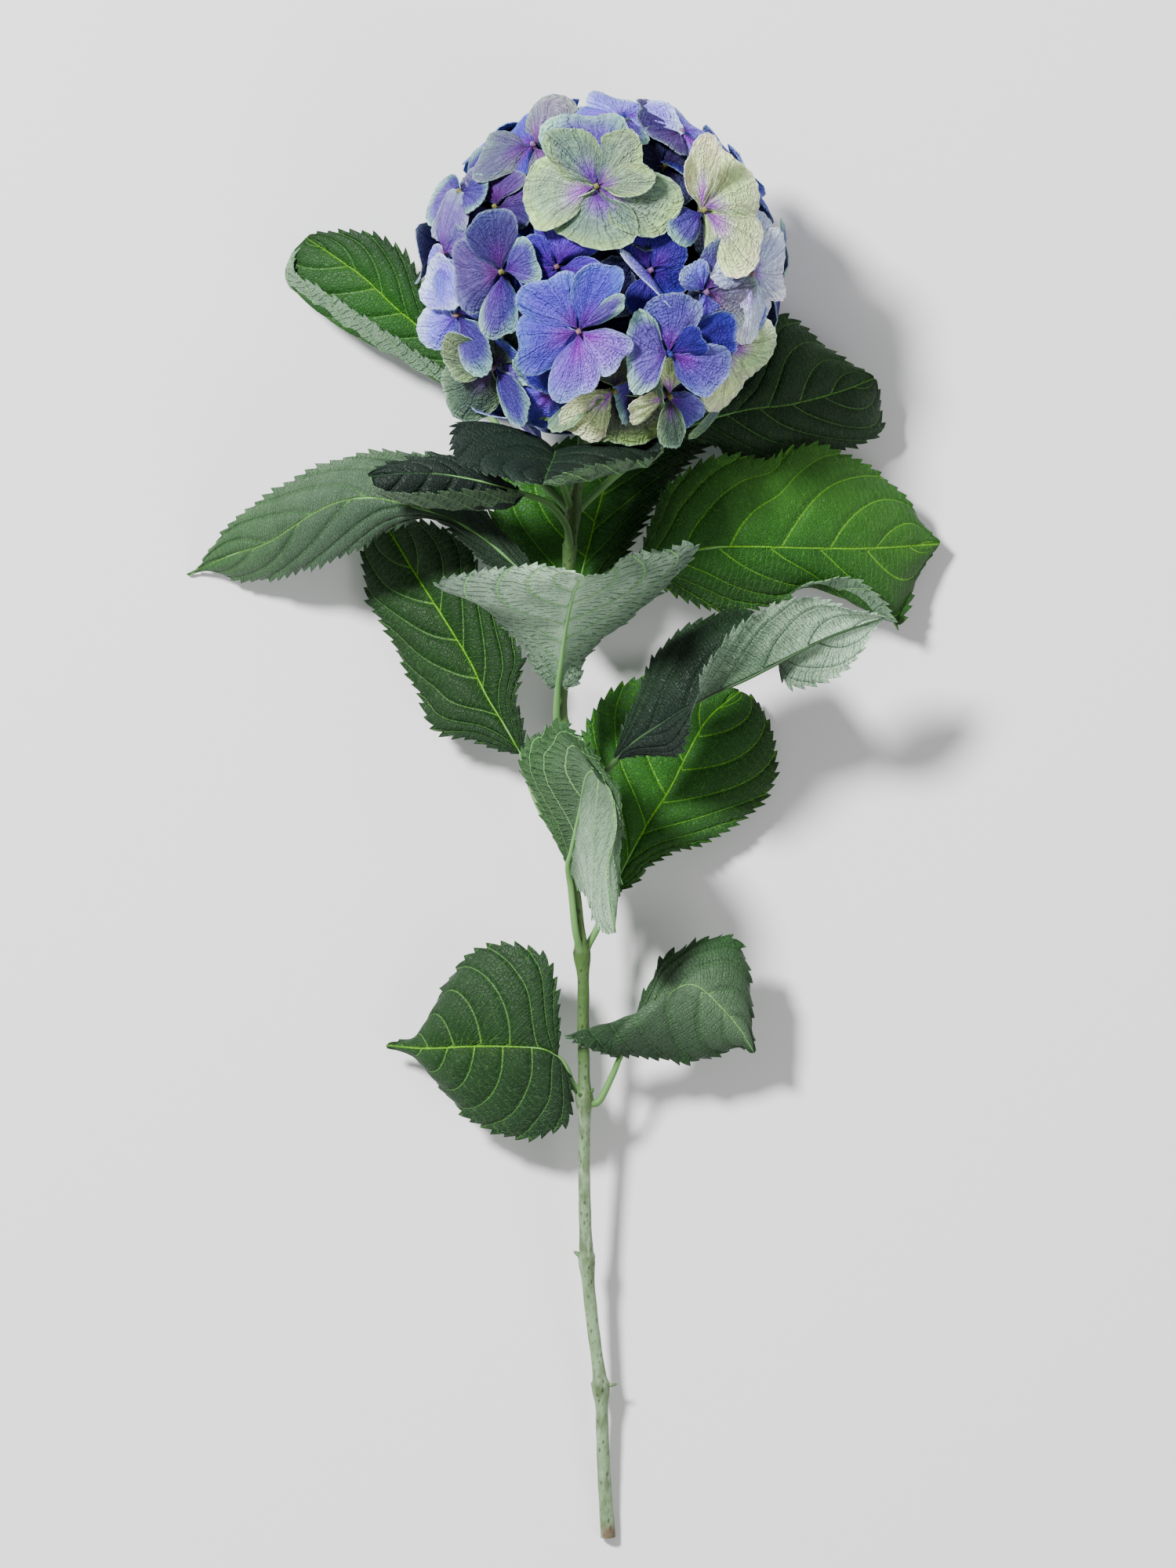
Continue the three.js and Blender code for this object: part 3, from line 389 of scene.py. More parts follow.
# For each leaf: the greens of its upper side and of its underside, each as left margin, midrib and right
# margin at the base, half way and at the tip; the veins' colours, of the upper side's midrib, its laterals
# and the underside; and how strongly the small veins furrow the two sides, from 0 to 1, which also sets
# how much painted shade the furrows get. The greens are partly the leaves' own and partly painted light
# and shade: halves and ends darker where shade falls on them and lighter where light falls, and pale
# sheen on some as a painted highlight.
SILVERY, PALE = "silver " * 9, "pale " * 9
LEAF_COLOURS = {
    "leaf_low_left": (
        "shade deep deep deep rich deep deep mid deep", SILVERY, "yellow light silver", 0.15, 0.8),
    # Its pale midrib half way and at the tip is painted sheen along the ridge of its fold.
    "leaf_low_right": (
        "deep mid deep mid pale deep deep pale mid", SILVERY, "silver green silver", 0.3, 0.8),
    "leaf_second_front": (
        "mid mid mid mid deep mid deep mid deep", "silver grey leafy white pale mid white white leafy",
        "dim dim silver", 0.3, 0.6),
    # Its lighter left half and darker right half are partly painted light and shade.
    "leaf_second_back": (
        "lime bright mid bright bright mid mid bright deep", SILVERY, "yellow yellow silver", 0, 0.8),
    "leaf_third_left": (
        "shade rich shade rich rich rich rich mid rich", SILVERY, "yellow light silver", 0.1, 0.8),
    # Its night base is painted shade and its sheen tip a painted highlight; its underside is painted dark at
    # the base, in shade, and turns silver further on.
    "leaf_third_right": (
        "deep night night deep shade smoke mid grey sheen",
        "night night night smoke pale silver white white white", "dim dark dim", 0.4, 0.6),
    # Its underside's pale greens, up to white, are partly painted light: lighter than its own colour where
    # it faces away from the lamp.
    "leaf_fourth_front": (
        "mid mid mid mid mid mid mid mid mid", "sheen silver sheen sheen white sheen silver white white",
        "dim dim leafy", 0.3, 1.0),
    "leaf_fourth_back": (
        "bright bright deep bright bright deep mid mid shade", SILVERY, "yellow yellow silver", 0, 0.8),
    "leaf_fifth_left": (
        "shade smoke smoke grey grey pale leafy leafy leafy", SILVERY, "light green silver", 0.3, 0.8),
    "leaf_fifth_right": (
        "mid bright deep lime bright mid bright lime mid", SILVERY, "yellow yellow silver", 0, 0.8),
    "leaf_sixth_front": (
        "night night night night night shade shade night shade", PALE, "dim dim silver", 0, 0.8),
    "leaf_top_front": (
        "shade shade shade night shade night shade night shade", PALE, "green dark silver", 0, 0.8),
    "leaf_top_left": (
        "mid mid mid mid bright deep deep mid deep", SILVERY, "yellow light silver", 0, 0.8),
    "leaf_top_right": (
        "deep deep deep deep deep deep mid deep shade", SILVERY, "light light silver", 0, 0.8),
}
SEEN_FROM_BELOW = ("leaf_second_front", "leaf_fourth_front")  # their underside faces up from the table
# How far along the leaf its raised midrib goes, where that isn't nearly to the tip.
RIB_END, RIB_ENDS = 0.97, {"leaf_second_front": 0.5}
PETIOLE_COLOURS = ((92, 122, 62), (118, 152, 86))  # at the stem and at the blade

# For each kind of sepal: its colour at the root, in the body and along the margin.
SEPAL_COLOURS = {
    "mint": ((190, 158, 212), (184, 201, 180), (202, 210, 178)),
    "cream": ((204, 176, 214), (209, 218, 194), (215, 218, 200)),
    "lilac": ((188, 136, 214), (164, 164, 212), (180, 194, 214)),
    "mauve": ((196, 146, 220), (186, 178, 222), (190, 202, 218)),
    "violet": ((186, 144, 214), (156, 163, 220), (168, 188, 220)),
    "royal": ((140, 100, 204), (122, 118, 208), (128, 140, 216)),
    "deep": ((126, 92, 198), (94, 100, 196), (98, 120, 206)),
    "ash": ((166, 132, 190), (168, 172, 182), (180, 190, 182)),
    "dusk": ((170, 122, 204), (160, 160, 200), (178, 190, 202)),
    "sky": ((164, 146, 218), (178, 188, 228), (202, 214, 234)),
    "pale": ((188, 182, 216), (203, 210, 218), (210, 215, 218)),
    "moss": ((158, 130, 172), (146, 162, 140), (182, 198, 168)),
    "plum": ((108, 70, 142), (156, 164, 142), (196, 206, 168)),
    "rim": ((144, 110, 198), (142, 144, 198), (196, 212, 202)),
    "slate": ((76, 66, 132), (82, 96, 142), (116, 134, 164)),
    "purple": ((126, 82, 168), (122, 110, 174), (144, 152, 180)),
    "murk": ((160, 108, 188), (114, 114, 172), (136, 148, 186)),
    # shadow: dark sepals that are painted shade deep in the gaps at the front of the bloom.
    "shadow": ((50, 42, 92), (38, 46, 104), (50, 62, 122)),
}
# The florets that show from above: x and y of the eye from the middle of the bloom, its reach from there,
# the lean towards the sky, the kind of sepal, the depth of its teeth, and then each sepal's angle, length,
# width and lift, with a kind of its own where it has one.
PLACED_FLORETS = [
    (-2.7, 32, 76, 0.75, "mint", 0.4, [
        (122, 28, 23, 12), (54, 28, 22, 14), (12, 25, 15, 16), (184, 31, 31, -4), (340, 34, 31, -6),
        (266, 23, 42, -10), (100, 34, 36, 4, "rim")]),
    (-42, -3, 73, 0.5, "murk", 0.2, [
        (107, 28, 23, 14), (185, 25, 31, 4), (25, 20, 20, 24, "rim"), (262, 28, 18, 2, "rim")]),
    (-10, -28, 77, 0.6, "violet", 0.2, [
        (130, 30, 27, 10), (70, 32, 20, 12), (195, 29, 25, 2), (266, 30, 21, 8, "mauve"),
        (322, 25, 19, -4, "mauve"), (38, 26, 8, 20, "rim"), (232, 34, 20, -14, "deep")]),
    (28, -37, 75, 0.5, "lilac", 0.4, [
        (84, 26, 25, 12), (180, 18, 38, 2, "rim"), (332, 28, 23, 4), (12, 33, 19, -8, "deep"),
        (24, 18, 14, 22, "deep")]),
    (42, 23, 74, 0.35, "cream", 0.5, [
        (45, 32, 36, 2), (332, 33, 30, -6), (108, 32, 18, 30), (222, 18, 18, 4, "rim")]),
    (43, -11, 69, 0.3, "dusk", 0.4, [
        (350, 24, 26, 2, "ash"), (52, 26, 24, 6), (128, 16, 15, 20, "sky"), (288, 21, 22, -4, "sky")]),
    (20, -2, 58, 0.3, "deep", 0.2, [
        (115, 24, 22, 12), (50, 22, 20, 24), (262, 22, 20, 8), (340, 17, 16, 4), (222, 16, 32, 64, "sky")]),
    (-19, -1, 66, 0.4, "royal", 0.2, [
        (74, 29, 32, 4), (150, 19, 17, 4), (250, 18, 18, 0), (340, 20, 18, 4), (196, 18, 16, 0)]),
    (-29, 51, 71, 0.25, "ash", 0.3, [
        (176, 28, 29, 6), (62, 28, 28, 2), (290, 18, 18, 0), (118, 27, 22, -12, "violet"),
        (205, 26, 20, -10, "violet")]),
    (8, 63, 73, 0.1, "sky", 0.4, [
        (95, 24, 26, -4), (20, 25, 26, 8), (180, 20, 22, 4, "violet"), (280, 18, 20, 10, "rim")]),
    (33, 57, 74, 0, "lilac", 0.5, [
        (60, 26, 28, 4, "sky"), (150, 24, 24, 0, "purple"), (330, 22, 22, 4), (240, 18, 20, 8, "purple")]),
    (-60, 32, 74, 0.1, "rim", 0.5, [
        (150, 26, 22, 4), (40, 20, 14, 0), (235, 24, 26, 2, "dusk"), (320, 20, 18, 6)]),
    (-67, 6, 76, 0.1, "sky", 0.5, [
        (100, 26, 25, 0, "dusk"), (200, 28, 27, 2), (285, 26, 24, 4), (15, 18, 18, 4, "dusk")]),
    (-61, -20, 75, 0.15, "sky", 0.6, [
        (130, 26, 26, 0), (220, 28, 26, 0), (310, 26, 22, 4, "rim"), (40, 20, 18, 0)]),
    (-46, -42, 71, 0.45, "moss", 0.6, [
        (165, 22, 25, 12), (228, 32, 30, -6), (60, 18, 18, 0), (318, 27, 15, 20, "rim")]),
    (-20, -51, 70, 0.2, "violet", 0.4, [(235, 26, 24, 6), (325, 24, 20, 0), (140, 20, 18, 0, "rim")]),
    (5, -52, 71, 0.4, "plum", 0.6, [(228, 28, 24, -4, "cream"), (288, 28, 38, 0), (90, 16, 18, 4)]),
    (28, -54, 74, 0.3, "cream", 0.5, [
        (264, 25, 12, 40, "moss"), (305, 22, 16, 0, "lilac"), (196, 22, 12, 20), (80, 18, 18, 0)]),
    (51, -34, 72, 0.35, "cream", 0.6, [
        (345, 28, 30, 0), (50, 24, 24, 0, "sky"), (285, 27, 28, -4), (140, 16, 16, 0)]),
    (62, -3, 75, 0.2, "pale", 0.6, [(10, 24, 30, 4), (78, 28, 30, 0), (285, 28, 28, 0), (170, 18, 18, 0)]),
]
# Florets in the gaps between those, some with sepals folded up so that only their edges show.
FOLDED_FLORETS = [
    (26, 42, 66, 0.2, "slate", 0.3, [(125, 24, 26, 6), (50, 20, 22, 4), (210, 20, 20, 0), (300, 18, 18, 0)]),
    (-45, 25, 67, 0.3, "purple", 0.3, [(85, 18, 32, 10), (215, 22, 24, 0, "dusk"), (345, 18, 18, 0)]),
    (15, -47, 65, 0.5, "cream", 0.6, [(187, 18, 34, 50, "rim"), (10, 15, 30, 56, "mint")]),
    (-14, -52, 65, 0.3, "mint", 0.6, [(307, 17, 32, 62), (290, 12, 30, 20, "plum")]),
    (-50, 38, 66, 0.2, "purple", 0.5, [(100, 15, 30, 0), (262, 18, 28, 10), (170, 20, 24, 0, "rim")]),
    (-38, -32, 62, 0.3, "dusk", 0.5, [(300, 20, 24, 20, "rim"), (200, 18, 22, 0), (50, 20, 24, 10)]),
]
# The kinds that the other florets take by chance, over the bloom and deeper in.
RING_KINDS = ("violet", "lilac", "sky", "dusk", "mint", "violet", "rim", "lilac")
INNER_KINDS = ("deep", "murk", "sky", "violet", "dusk")
# Painted shade on a sepal's dim side and painted light on its lit side.
DIM_SIDE, LIT_SIDE = np.array([0.5, 0.54, 0.68]), np.array([1.08, 1.05, 1.0])  # times a sepal's colour
SEPAL_EDGE, SEPAL_BACK = (204, 216, 212), (188, 200, 204)  # what a sepal's edge and back are tinged with
EYE_COLOURS = ((168, 162, 110), (176, 146, 150), (64, 100, 186), (164, 138, 176))
PEDICEL_COLOUR = (104, 116, 140)
# Both core colours are kept dark as painted shade deep inside the bloom, the one between the buds darker
# still as painted shade in those hollows.
CORE_COLOURS = ((46, 60, 78), (92, 104, 140))  # between its buds and on them

BARK = {
    "olive": (122, 144, 98), "lichen": (164, 180, 152), "chalk": (184, 194, 180), "moss": (108, 112, 74),
    "brown": (112, 84, 62), "fleck": (52, 50, 32), "cut": (142, 84, 72), "green": (88, 124, 48),
    "light green": (112, 146, 74), "dark green": (74, 96, 48),
}
BUD_MOTTLE = (150, 140, 160)
TABLE_COLOURS = ((244, 244, 243), (248, 248, 247))

# How a surface of each share of white looks in the picture, 0 to 255, under the studio light used here.
# Parts above the last one count as that one. The picture also mixes the three parts of a colour, once
# before and once after that, and these undo it.
WHITENESS = (0, 0.004, 0.0076, 0.0147, 0.0284, 0.0551, 0.107, 0.207, 0.401, 0.777)
PICTURE_TONE = (0, 19, 32, 50, 75, 107, 143, 174, 199, 218)
UNMIX_PICTURE = np.array([[0.772, 0.149, 0.079], [0.092, 0.902, 0.006], [0.077, 0.114, 0.809]])
UNMIX_SURFACE = np.array([[1.392, -0.326, -0.066], [-0.14, 1.281, -0.141], [-0.08, -0.167, 1.247]])
DARKEST, BRIGHTEST = 0.002, 0.92


def seen(colour):
    """The surface's own red, green and blue for a colour as it should look in the picture, 0 to 255."""
    unmixed = UNMIX_PICTURE @ np.asarray(colour, float)
    return np.maximum(UNMIX_SURFACE @ np.interp(unmixed, PICTURE_TONE, WHITENESS), DARKEST)


# ---------------------------------------------------------------- small helpers


def unit(v):
    """Vectors brought to length 1."""
    return v / np.maximum(np.linalg.norm(v, axis=-1, keepdims=True), 1e-9)


def mix(a, b, t):
    """a turned into b as t goes from 0 to 1."""
    return a + (b - a) * t


def ease(low, high, x):
    """0 below low, 1 above high and between them t^2 (3 - 2 t), where t is the share of the way."""
    t = np.clip((x - low) / (high - low), 0, 1)
    return t * t * (3 - 2 * t)


def chance(index, salt):
    """A repeatable number from 0 to 1 for each whole number and salt: what is left of a large multiple of a
    sine when its whole part is taken away."""
    value = np.sin(index * 12.9898 + salt * 78.233) * 43758.5453
    return value - np.floor(value)


def hump(x, width):
    """A soft hump of height 1 round x = 0: e to the power -(x / width)^2."""
    return np.exp(-((x / width) ** 2))


class Path:
    """A smooth curve through points: a cubic from each to the next, whose direction at a point is that from
    the one before it to the one after. It is walked by its length: at(u) is its place for u from 0 to 1."""

    def __init__(self, points):
        p = np.array(points, float)
        p = np.vstack([2 * p[:1] - p[1:2], p, 2 * p[-1:] - p[-2:-1]])
        t = np.linspace(0, 1, 40, endpoint=False)[:, None]
        spans = []
        for a, b, c, d in zip(p, p[1:], p[2:], p[3:]):
            leave, reach = 0.5 * (c - a), 0.5 * (d - b)
            spans.append(
                b + leave * t + (3 * (c - b) - 2 * leave - reach) * t**2
                + (2 * (b - c) + leave + reach) * t**3
            )
        self.dense = np.vstack([*spans, p[-2:-1]])
        self.run = np.concatenate([[0], np.cumsum(np.linalg.norm(np.diff(self.dense, axis=0), axis=1))])
        self.length = self.run[-1]

    def at(self, u):
        want = np.clip(u, 0, 1) * self.length
        return np.stack([np.interp(want, self.run, self.dense[:, k]) for k in range(3)], axis=-1)

    def along(self, u):
        return unit(self.at(np.minimum(u + 0.01, 1)) - self.at(np.maximum(u - 0.01, 0)))


# ---------------------------------------------------------------- from grids to meshes


class Skin:
    """Points, triangles and named values at the points; skins add up into one."""

    def __init__(self, points, triangles, **values):
        self.points, self.triangles, self.values = points, triangles, values

    @staticmethod
    def together(skins):
        starts = np.cumsum([0] + [len(s.points) for s in skins[:-1]])
        return Skin(
            np.concatenate([s.points for s in skins]),
            np.concatenate([s.triangles + start for s, start in zip(skins, starts)]),
            **{k: np.concatenate([s.values[k] for s in skins]) for k in skins[0].values},
        )

    def knit(self):
        """Points in one place become one, and triangles with no area go."""
        _, first, again = np.unique(
            np.round(self.points, 3), axis=0, return_index=True, return_inverse=True
        )
        t = again.reshape(-1)[self.triangles]
        keep = (t[:, 0] != t[:, 1]) & (t[:, 1] != t[:, 2]) & (t[:, 2] != t[:, 0])
        return Skin(self.points[first], t[keep], **{k: v[first] for k, v in self.values.items()})


def grid_triangles(rows, columns):
    """The triangles of a grid of points, facing columns-direction cross rows-direction."""
    i, j = np.meshgrid(np.arange(rows - 1), np.arange(columns - 1), indexing="ij")
    a = (i * columns + j).reshape(-1)
    b, c, d = a + 1, a + columns + 1, a + columns
    return np.concatenate([np.stack([a, b, d], 1), np.stack([b, c, d], 1)])


def way_up(sheet):
    """Directions square to a grid of points: across its columns, cross along its rows."""
    n = unit(np.cross(np.gradient(sheet, axis=1), np.gradient(sheet, axis=0)))
    n[0], n[-1] = n[1], n[-2]
    return n


def two_faced(sheet, up, over, under, upper_values, under_values):
    """A thin closed body round a grid of points: the grid raised by over and lowered by under along up,
    joined by a rim round its edge."""
    rows, columns = sheet.shape[:2]
    top = (sheet + up * over).reshape(-1, 3)
    bottom = (sheet - up * under).reshape(-1, 3)
    faces = grid_triangles(rows, columns)
    shift = rows * columns
    ids = np.arange(shift).reshape(rows, columns)
    loop = np.concatenate([ids[0, :-1], ids[:-1, -1], ids[-1, :0:-1], ids[:0:-1, 0]])
    a, b = loop, np.roll(loop, -1)
    rim = np.concatenate([np.stack([b, a, a + shift], 1), np.stack([b, a + shift, b + shift], 1)])

    def spread(value):
        return np.broadcast_to(value, (rows, columns, np.shape(value)[-1])).reshape(shift, -1)

    values = {k: np.concatenate([spread(upper_values[k]), spread(under_values[k])]) for k in upper_values}
    faces = np.concatenate([faces, faces[:, ::-1] + shift, rim])
    return Skin(np.concatenate([top, bottom]), faces, **values)


def stalk(path, u, radius, sides, flat, values):
    """A round stalk: circles of the given radius, square to the path at each u, with both ends closed.
    flat is the way that its first side looks, and values are given for each u."""
    centre, along = path.at(u), path.along(u)
    side = unit(np.cross(along, np.asarray(flat, float)))
    up = np.cross(side, along)
    turn = np.linspace(0, 2 * np.pi, sides + 1)
    r = np.broadcast_to(np.asarray(radius).reshape(len(u), -1), (len(u), sides + 1))[..., None]
    ring = side[:, None] * np.cos(turn)[None, :, None] + up[:, None] * np.sin(turn)[None, :, None]
    ring[:, -1] = ring[:, 0]
    points = centre[:, None] + r * ring
    ends = [np.broadcast_to(p, (1, sides + 1, 3)) for p in (centre[0], centre[-1])]
    grid = np.concatenate([ends[0], points, ends[1]])
    spread = {}
    for k, v in values.items():
        v = np.broadcast_to(v, (len(u), np.shape(v)[-1]))
        v = np.concatenate([v[:1], v, v[-1:]])
        spread[k] = np.repeat(v, sides + 1, axis=0)
    return Skin(grid.reshape(-1, 3), grid_triangles(len(u) + 2, sides + 1), **spread).knit()


def make_piece(name, skin, material, replaced):
    """The Blender object of a skin, in metres and at the origin, in place of the solids of those nodes."""
    mesh = bpy.data.meshes.new(name)
    mesh.vertices.add(len(skin.points))
    mesh.vertices.foreach_set("co", (skin.points * MM).astype(np.float32).reshape(-1))
    count = len(skin.triangles)
    mesh.loops.add(3 * count)
    mesh.loops.foreach_set("vertex_index", skin.triangles.astype(np.int32).reshape(-1))
    mesh.polygons.add(count)
    mesh.polygons.foreach_set("loop_start", np.arange(0, 3 * count, 3, dtype=np.int32))
    mesh.polygons.foreach_set("use_smooth", np.ones(count, dtype=bool))
    for key, value in skin.values.items():
        kind, field = ("FLOAT_COLOR", "color") if value.shape[1] == 4 else ("FLOAT_VECTOR", "vector")
        layer = mesh.attributes.new(key, kind, "POINT")
        layer.data.foreach_set(field, value.astype(np.float32).reshape(-1))
    mesh.update(calc_edges=True)
    mesh.validate()
    mesh.set_sharp_from_angle(angle=math.radians(CREASE_ANGLE))
    mesh.materials.append(material)
    piece = bpy.data.objects.new(name, mesh)
    bpy.context.scene.collection.objects.link(piece)
    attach(piece, "root")
    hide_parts(*replaced)


def ink(colour):
    """One colour for all points, as a row with a full fourth part."""
    return np.append(seen(colour), 1)[None, :]


# ---------------------------------------------------------------- leaves

# Where lines of points run along a half blade, from the midrib at 0 to the margin at 1.
HALF_COLUMNS = np.array([
    0, 0.03, 0.07, 0.13, 0.2, 0.28, 0.36, 0.44, 0.52, 0.6, 0.68, 0.75, 0.82, 0.88, 0.94, 1.0,
])
LATERALS = 6.5  # veins from the midrib to the margin, on each side
LATERAL_SHIFT = 0.25  # how far the right side's are ahead of the left side's, in spaces between veins
LATERAL_REACH = 0.46  # the share of the leaf's length that a lateral vein covers on its way to the margin
QUILT_HEIGHT, GROOVE_DEPTH, WAVE_HEIGHT, RIB_HEIGHT = 1.1, 0.45, 0.8, 0.3
FOLD_ROUNDING = 0.07  # half the width, as a share of the half blade, over which a fold is rounded
STALK_POINTS = 30  # along the midrib
PETIOLE_RADII = (2.5, 1.6, 1.3, 1.0, 0.3)  # in the stem, out of it, at the blade, a little on and at the tip


def half_sheet(leaf, midrib, name, u, w):
    """Half a blade and the curve of its margin, for shares u along it and w across it from the midrib.
    Without a crease it is the straight line to the margin, raised by the parabola 4 puff w (1 - w). With
    one, it runs to the crease in that way and straight on to the margin, averaged across the fold."""
    ends = leaf["midrib"][:1], leaf["midrib"][-1:]
    edge = Path(ends[0] + leaf[name] + ends[1])
    rib, margin = midrib.at(u)[:, None], edge.at(u)[:, None]
    along = midrib.along(u)[:, None]

    def bowed(to, q):
        across = to - rib
        up = unit(np.cross(along, across)) * (1 if name == "left" else -1)
        height = 4 * LEAF_PUFF * np.linalg.norm(across, axis=-1, keepdims=True)
        return rib + across * q + up * height * q * (1 - q)

    if name + "Crease" not in leaf:
        return bowed(margin, w[None, :, None]), edge
    crease = Path(ends[0] + leaf[name + "Crease"] + ends[1]).at(u)[:, None]
    inner = np.linalg.norm(crease - rib, axis=-1).mean()
    outer = np.linalg.norm(margin - crease, axis=-1).mean()
    fold = inner / (inner + outer)

    def folded(w):
        w = w[None, :, None]
        return np.where(w < fold, bowed(crease, w / fold), mix(crease, margin, (w - fold) / (1 - fold)))

    room = np.minimum(np.minimum(FOLD_ROUNDING, w), 1 - w)
    return sum(folded(w + k * room) for k in np.linspace(-1, 1, 7)) / 7, edge


def leaf_teeth(sheet, edges, u, teeth, seed):
    """The margin of each half pushed out in teeth that lean to the tip: out and along by the same depth at
    a tooth's point, by nothing in the notch, and a straight run between."""
    phase = (u * teeth) % 1
    number = np.floor(u * teeth)
    rise = np.where(phase < TOOTH_APEX, phase / TOOTH_APEX, (1 - phase) / (1 - TOOTH_APEX))
    for column, inside, edge, salt in ((0, 2, edges[0], 1), (-1, -3, edges[1], 2)):
        along = edge.along(u)
        out = sheet[:, column] - sheet[:, inside]
        out = unit(out - along * (out * along).sum(-1, keepdims=True))
        depth = TOOTH_DEPTH * (0.75 + 0.5 * chance(number + 40 * seed, salt))
        depth = (depth * rise * np.sin(np.pi * np.clip(u, 0, 1)) ** 0.4)[:, None]
        shift = out * depth + along * depth
        sheet[:, column] += shift
        near = 1 if column == 0 else -2
        sheet[:, near] += 0.35 * shift
    return sheet


def leaf_skin(leaf, seed):
    """A leaf: its blade, and one stalk that is its petiole and midrib. The blade bulges like a quilt by
    height (1 - (1 - d)^2.2), where d goes from 0 on a lateral vein to 1 half way to the next. A groove
    sinks the midrib, and a sine whose height grows as w^2 waves the blade towards its margin."""
    upper, under, veins, furrows, under_furrows = LEAF_COLOURS[leaf["name"]]
    rib_vein, vein, under_vein = (VEINS[word] for word in veins.split())
    midrib = Path(leaf["midrib"])
    teeth = int(round(Path(leaf["midrib"][:1] + leaf["left"] + leaf["midrib"][-1:]).length / TOOTH_LENGTH))
    u = np.append((np.arange(teeth)[:, None] + np.array(TOOTH_ROWS)).reshape(-1) / teeth, 1.0)
    names = ("right", "left") if leaf["name"] in SEEN_FROM_BELOW else ("left", "right")
    left, left_edge = half_sheet(leaf, midrib, names[0], u, HALF_COLUMNS)
    right, right_edge = half_sheet(leaf, midrib, names[1], u, HALF_COLUMNS)
    sheet = np.concatenate([left[:, :0:-1], right], axis=1)
    v = np.concatenate([-HALF_COLUMNS[:0:-1], HALF_COLUMNS])
    w = np.abs(v)[None, :]
    middle = len(HALF_COLUMNS) - 1
    step = np.linalg.norm(np.diff(sheet, axis=1), axis=-1)
    run = np.concatenate([np.zeros((len(u), 1)), np.cumsum(step, axis=1)], axis=1)
    from_rib = np.abs(run - run[:, middle : middle + 1])

    # s is constant along a lateral vein, which leaves the midrib steeply and bends towards the tip.
    s = u[:, None] - LATERAL_REACH * (0.45 * w + 0.55 * w**2.5) * (1.1 - 0.5 * u[:, None])
    phase = (s + LATERAL_SHIFT * (v > 0) / LATERALS) * LATERALS + 0.5
    off_vein = np.abs(phase - np.floor(phase) - 0.5) * 2  # 0 on a lateral vein, 1 between two of them
    ends = (np.sin(np.pi * u) ** 0.5)[:, None]
    quilt = QUILT_HEIGHT * (1 - (1 - off_vein) ** 2.2) * ease(0.02, 0.25, w) * ends * (1 - 0.25 * w)
    groove = -GROOVE_DEPTH * hump(from_rib, 1.3) * (1 - 0.6 * u[:, None])
    wave = WAVE_HEIGHT * np.sin(9 * u[:, None] + 3 * v[None, :] + 6.3 * chance(seed, 3)) * w**2 * ends
    up = way_up(sheet)
    sheet = sheet + up * (quilt + groove + wave)[..., None]
    sheet = leaf_teeth(sheet, (left_edge, right_edge), u, teeth, seed)
    lateral_rib = RIB_HEIGHT * hump(off_vein, 0.16) * (1 - w) * ends * ease(0, 0.05, w)

    # The nine greens spread over the blade, painted light and shade among them.
    def greens(words):
        nine = np.array([seen(GREENS[word]) for word in words.split()]).reshape(3, 3, 3)
        rows = [np.stack([np.interp(v, [-1, 0, 1], row[:, k]) for k in range(3)], axis=-1) for row in nine]
        near, far = ease(0, 0.5, u)[:, None, None], ease(0.5, 1, u)[:, None, None]
        return mix(mix(rows[0], rows[1], near), rows[2], far)

    def coloured(colour, last):
        colour = np.broadcast_to(colour, (*sheet.shape[:2], 3))
        return np.concatenate([colour, np.full((*sheet.shape[:2], 1), last)], axis=-1)

    lengthwise = np.broadcast_to(u[:, None] * midrib.length / 10 + 30 * seed, phase.shape)
    place = np.stack([phase, from_rib / 10, lengthwise], axis=-1)
    half_thick = BLADE_THICK / 2
    from_midrib = ease(0.04, 0.12, w)[..., None]
    top_veins, under_veins = mix(seen(rib_vein), seen(vein), from_midrib), seen(under_vein)
    top = {"tint": coloured(greens(upper), furrows), "vein_tint": coloured(top_veins, 1), "place": place}
    bottom = {
        "tint": coloured(greens(under), under_furrows),
        "vein_tint": coloured(under_veins, 1),
        "place": place,
    }
    blade = two_faced(sheet, up, half_thick, (half_thick + lateral_rib)[..., None], top, bottom).knit()

    # The petiole runs from the middle of the stem to the blade and on under it as the midrib.
    last = RIB_ENDS.get(leaf["name"], RIB_END)
    share = np.linspace(0, last, STALK_POINTS)
    ups = np.stack([np.interp(share, u, up[:, middle, k]) for k in range(3)], axis=-1)
    rib_line = midrib.at(share) - unit(ups) * np.linspace(1.15, 0.45, STALK_POINTS)[:, None]
    path = Path([NODES[leaf["node"]], *leaf["petiole"], *rib_line[::3].tolist(), rib_line[-1].tolist()])
    t = np.linspace(0, 1, 110)
    begins = 1 - midrib.length * last / path.length
    radius = np.interp(t, [0, 0.05, begins, begins + 0.1, 1], PETIOLE_RADII)
    at_stem, at_blade = (ink(colour) for colour in PETIOLE_COLOURS)
    petiole_tint = mix(at_stem, at_blade, ease(0, 0.6 * begins, t)[:, None])
    rib_tint = mix(ink(under_vein), at_blade, 0.35)
    values = {
        "tint": mix(petiole_tint, rib_tint, ease(begins - 0.05, begins + 0.15, t)[:, None]),
        "vein_tint": ink(under_vein),
        "place": np.array([[0.5, 9.0, 30.0 * seed]]),
    }
    rib = stalk(path, t, radius, 10, (0.2, 0.3, 1), values)
    rib.values["tint"][:, 3] = 0
    return Skin.together([blade, rib])


# ---------------------------------------------------------------- the stem


def stem_radius(y):
    """The stem's radius: straight runs between given places, plus a swelling at each node with a ring and a
    narrow waist just above it."""
    radius = np.interp(y, [p[0] for p in STEM_RADII], [p[1] for p in STEM_RADII])
    for name, swell in NODE_SWELL.items():
        past = y - NODES[name][1]
        radius = radius + swell * hump(past, SWELL_LENGTH)
        radius = radius + 0.3 * hump(past - 1.5, 0.9) - 0.2 * hump(past - 4, 1.2)
    return radius


